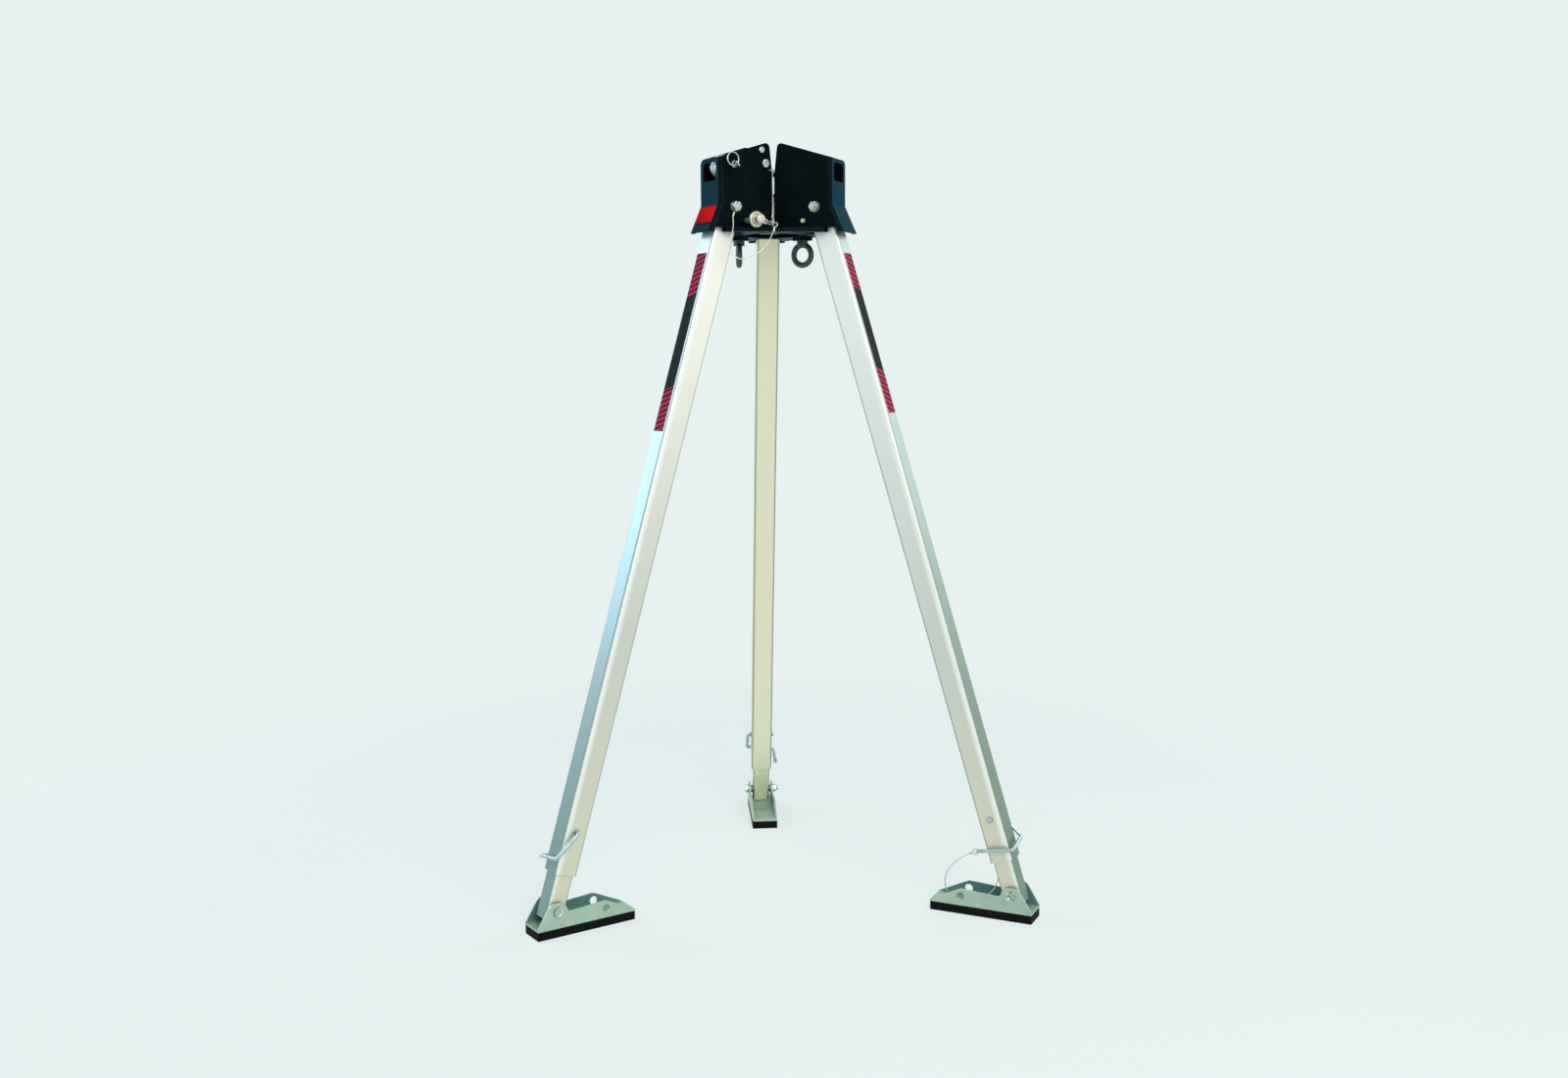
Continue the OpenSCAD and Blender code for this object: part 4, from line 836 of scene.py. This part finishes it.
LOCK_OFF, LOCK_ALONG = 33.0, 18.0
LUG_OUT, LUG_ALONG, LUG_TURN = 18.5, 84, 167.0
RING_R, RING_WIRE_R = 12, 1.1
LOCK_CENTRE = Vector((PIVOT_OUT - LOCK_OFF * math.cos(LEG_LEAN) + LOCK_ALONG * math.sin(LEG_LEAN), 0,
                      -LOCK_OFF * math.sin(LEG_LEAN) - LOCK_ALONG * math.cos(LEG_LEAN)))
RING_CENTRE = LOCK_CENTRE + about_t((LUG_OUT + RING_R, LUG_ALONG, 0), LUG_TURN)


def on_ring(degrees, reach):
    """A point of the left lock pin's split ring."""
    a = math.radians(degrees)
    return RING_CENTRE + reach * about_t((math.cos(a), math.sin(a), 0), LUG_TURN)


def left(v):
    """A point of the left bracket's frame."""
    return on_bracket("left", *v)


def left_way(v):
    """A direction of the left bracket's frame."""
    return on_bracket("left", *v) - on_bracket("left", 0, 0, 0)


EYE_R, EYE_TO_END, EYE_GAP = 5, 14, 0.3
EYE_SLACK = EYE_R - CABLE_D / 2 - RING_WIRE_R - EYE_GAP
LOCK_AT, DROP_AT = 62, 102
lock_dir = Vector((0.3, 0, -1)).normalized()
lock_eye = on_ring(LOCK_AT, RING_R) + EYE_SLACK * lock_dir
lock_end = lock_eye + EYE_TO_END * lock_dir
tail_dir = about_t((0, 0, -1), -20)
lock_start = Vector((PIVOT_OUT, CHEEK_HALF + WASHER + EYELET / 2, 0)) + 22 * tail_dir
lock_rows = [(0, 0, 0, 0), (0.07, 5.5, -0.6, -9), (0.15, 14, -1.4, -21.5), (0.25, 27, -4, -38),
             (0.33, 37, -5.2, -51), (0.39, 40.5, -4.4, -60), (0.44, 38.7, -3.2, -66), (0.51, 32.5, -0.6, -70),
             (0.58, 26, 1, -67.5), (0.66, 17, 1.7, -59), (0.76, 8.5, 1.7, -45), (0.87, 2.3, 0.8, -27),
             (0.96, 0.6, 0.1, -9), (1, 0, 0, 0)]
CHEEK_TALL, EDGE_LEAN = 134, 8
drop_h = 0.58 * CHEEK_TALL
drop_edge = CHEEK_IN + EDGE_LEAN * (drop_h * 2 / CHEEK_TALL - 1) + 1
drop_eye = Vector((drop_edge, 37.5, drop_h))
drop_top = drop_eye + Vector((0, 6, 0))
drop_dir = (on_ring(DROP_AT, RING_R) - drop_top).normalized()
drop_start = drop_top + 9 * drop_dir
ring_eye = on_ring(DROP_AT, RING_R) - EYE_SLACK * drop_dir
drop_end = ring_eye - EYE_TO_END * drop_dir
drop_rows = [(0, 0, 0, 0), (0.12, 0.5, 0.5, 0), (0.3, 0.5, 1, 0), (0.5, 0, 1, 0), (0.7, 0, 1, 0),
             (0.88, 0, 0.5, 0), (1, 0, 0, 0)]

cable, run, length = lanyard("lock_lanyard_cable", [left(p) for p in route(lock_start, lock_end, lock_rows)])
eyelet = lathed("eyelet", [(6.1, 0.0), (9.6, 0.0), (10, 0.3), (10, 1.3), (9.6, EYELET), (6.1, EYELET),
                           (6.1, 0.0)],
                left((PIVOT_OUT, CHEEK_HALF + WASHER, 0)), left_way((0, 1, 0)), bright_steel)
tail = joined("lock_lanyard_eyelet", [eyelet, sleeve(left(lock_start), left_way(-tail_dir))])
loop_axis = left_way(lock_dir.cross(on_ring(LOCK_AT, 1) - RING_CENTRE))
near = joined("lock_lanyard_end", [sleeve(left(lock_end), left_way(-lock_dir)),
                                   cable_loop(left(lock_eye), loop_axis, EYE_R)])
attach(tail, "head")
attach(near, "lock_pin_left")
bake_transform(cable, "head", "lock_pin_left", start=run[0], end=run[-1])
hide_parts("lock_lanyard")
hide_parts("head_ferrules")

cable, run, length = lanyard("drop_lanyard_cable", [left(p) for p in route(drop_start, drop_end, drop_rows)])
high = joined("drop_lanyard_top", [sleeve(left(drop_start), left_way(-drop_dir)),
                                   cable_loop(left(drop_eye), (0, 0, 1), 6)])
loop_axis = left_way(drop_dir.cross(on_ring(DROP_AT, 1) - RING_CENTRE))
low = joined("drop_lanyard_end", [sleeve(left(drop_end), left_way(drop_dir)),
                                  cable_loop(left(ring_eye), loop_axis, EYE_R)])
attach(high, "head")
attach(low, "lock_pin_left")
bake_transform(cable, "head", "lock_pin_left", start=run[0], end=run[-1])
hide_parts("drop_lanyard")

tip_eye = KEEPER_TIP + Vector((-6, 0, PIN_S))
leg_dir = Vector((-0.97, 0.1, -0.2)).normalized()
leg_start = tip_eye - Vector((6, 0, 0)) + 9 * leg_dir
tab_at = Vector((-12, TUBE_HALF, -1360))
leg_end = tab_at + Vector((0, 3, -18))
LEG_LOOP = 104
leg_rows = [(0, 0, 0, 0), (0, -13, 2, -3.5), (0, -26, 3, -8), (0, -39, 5, -14), (0, -52, 7, -22),
            (0, -63, 9, -32), (0, -71, 10.5, -44), (0, -76, 12, -57), (0, -77, 14, -70), (0, -73, 16, -82),
            (0, -64, 19, -92), (0, -51, 24, -97), (0, -35, 30, -101.5), (0, -20, 37, -LEG_LOOP),
            (0, -4, 44, -102), (0, 10.5, 49.5, -93.5), (0, 21, 54.5, -80), (1, -24, -3, -48),
            (1, -16, -1, -35), (1, -8, 0, -22), (1, -2, 0, -10), (1, 0, 0, 0)]
leg_fall = (leg_start.z - FOOT_BOLT_S + 1.8) / LEG_LOOP
leg_rows = [(w, n, t, s if w else s * leg_fall) for w, n, t, s in leg_rows]


def right_leg(v):
    """A point of the right leg's frame."""
    return on_leg("right", *v)


def right_way(v):
    """A direction of the right leg's frame."""
    return on_leg("right", *v) - on_leg("right", 0, 0, 0)


cable, run, length = lanyard("leg_lanyard_cable", [right_leg(p) for p in route(leg_start, leg_end, leg_rows)])
tip = joined("leg_lanyard_tip", [sleeve(right_leg(leg_start), right_way(-leg_dir)),
                                 cable_loop(right_leg(tip_eye), right_way((0, 1, 0)), 6)])
rivet = lathed("tab", [(3.0, 0.0), (6.7, 0.0), (7, 0.3), (7, 1.3), (6.7, 1.6), (5.0, 1.6), (4.6, 2.9),
                       (3.4, 3.8), (1.2, 4.3)],
               right_leg(tab_at), right_way((0, 1, 0)), bright_steel)
tab = joined("leg_lanyard_tab", [sleeve(right_leg(leg_end), right_way((0, 0, 1))), rivet])
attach(tip, "height_pin_right")
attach(tab, "leg_right")
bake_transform(cable, "height_pin_right", "leg_right", start=run[0], end=run[-1])
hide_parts("leg_lanyard")
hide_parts("leg_ferrules")

# Floor, light and camera
# A plain pale floor that fades into the background, three soft lamps, and a camera where the
# photograph was taken from, for an image of 1600 by 1100.
PALE = (0.800, 0.879, 0.871, 1)
FLOOR_R, FLOOR_SIDES, FLOOR_PLAIN = 3.0, 64, 0.78


def seen_directly(tree):
    """Whether a ray comes from the camera, a mirror image or a clear piece."""
    rays = put(tree, "ShaderNodeLightPath").outputs
    return worked(tree, "MAXIMUM", rays["Is Camera Ray"],
                  worked(tree, "MAXIMUM", rays["Is Glossy Ray"], rays["Is Transmission Ray"]))


floor_paint, tree, _ = new_material("floor_paint")
tree.nodes.clear()
lit = put(tree, "ShaderNodeBsdfDiffuse", {"Color": (0.92, 0.955, 0.94, 1)})
plain = put(tree, "ShaderNodeEmission", {"Color": PALE, "Strength": 1.0})
painted = put(tree, "ShaderNodeMixShader", {0: worked(tree, "MULTIPLY", seen_directly(tree), FLOOR_PLAIN),
                                            1: lit.outputs[0], 2: plain.outputs[0]})
far = put(tree, "ShaderNodeVectorMath", {0: in_object(tree)}, operation="LENGTH")
fade = ranged(tree, far.outputs["Value"], 1.2, 2.6, interpolation_type="SMOOTHSTEP")
clear = put(tree, "ShaderNodeBsdfTransparent")
faded = put(tree, "ShaderNodeMixShader", {0: fade, 1: painted.outputs[0], 2: clear.outputs[0]})
put(tree, "ShaderNodeOutputMaterial", {"Surface": faded.outputs[0]})
turns = [2 * math.pi * k / FLOOR_SIDES for k in range(FLOOR_SIDES)]
around = [(FLOOR_R * math.cos(a), FLOOR_R * math.sin(a), 0.0) for a in turns]
floor = piece("floor", around, [list(range(FLOOR_SIDES))], floor_paint)

world = bpy.data.worlds.new("studio")
bpy.context.scene.world = world
world.use_nodes = True
tree = world.node_tree
tree.nodes.clear()
sky = put(tree, "ShaderNodeBackground", {"Color": (0.80, 0.87, 0.90, 1), "Strength": 0.50})
backdrop = put(tree, "ShaderNodeBackground", {"Color": PALE, "Strength": 1.0})
shown = put(tree, "ShaderNodeMixShader", {0: seen_directly(tree), 1: sky.outputs[0], 2: backdrop.outputs[0]})
put(tree, "ShaderNodeOutputWorld", {"Surface": shown.outputs[0]})


def lamp(name, spot, aim, power, colour, size=2.2):
    """A soft square lamp."""
    light = bpy.data.lights.new(name, "AREA")
    light.size = size
    light.energy = power
    light.color = colour
    stand = bpy.data.objects.new(name, light)
    stand.location = spot
    stand.rotation_euler = (Vector(aim) - Vector(spot)).to_track_quat("-Z", "Y").to_euler()
    bpy.context.scene.collection.objects.link(stand)


lamp("key", (1.2, -3.4, 3.0), (0.0, 0.0, 0.9), 88.0, (1.0, 0.97, 0.91))
lamp("left_sky", (-3.0, 1.2, 2.1), (0.0, -0.1, 1.2), 46.0, (0.56, 0.84, 0.96))
lamp("right_sky", (3.0, 1.2, 2.1), (0.0, -0.1, 1.2), 26.0, (0.62, 0.87, 0.96))

PAN, TILT, ROLL = math.radians(-4.46), math.radians(83.01), math.radians(-0.33)
lens = bpy.data.cameras.new("photo_camera")
lens.sensor_fit = "HORIZONTAL"
lens.sensor_width = 36.0
lens.lens = 34.417
lens.shift_y = 0.0073
camera = bpy.data.objects.new("photo_camera", lens)
camera.location = (-0.2271, -3.3195, 1.1225)
camera.rotation_euler = (Matrix.Rotation(PAN, 4, "Z") @ Matrix.Rotation(TILT, 4, "X")
                         @ Matrix.Rotation(ROLL, 4, "Z")).to_euler()
bpy.context.scene.collection.objects.link(camera)
bpy.context.scene.camera = camera
bpy.context.scene.view_settings.view_transform = "Standard"
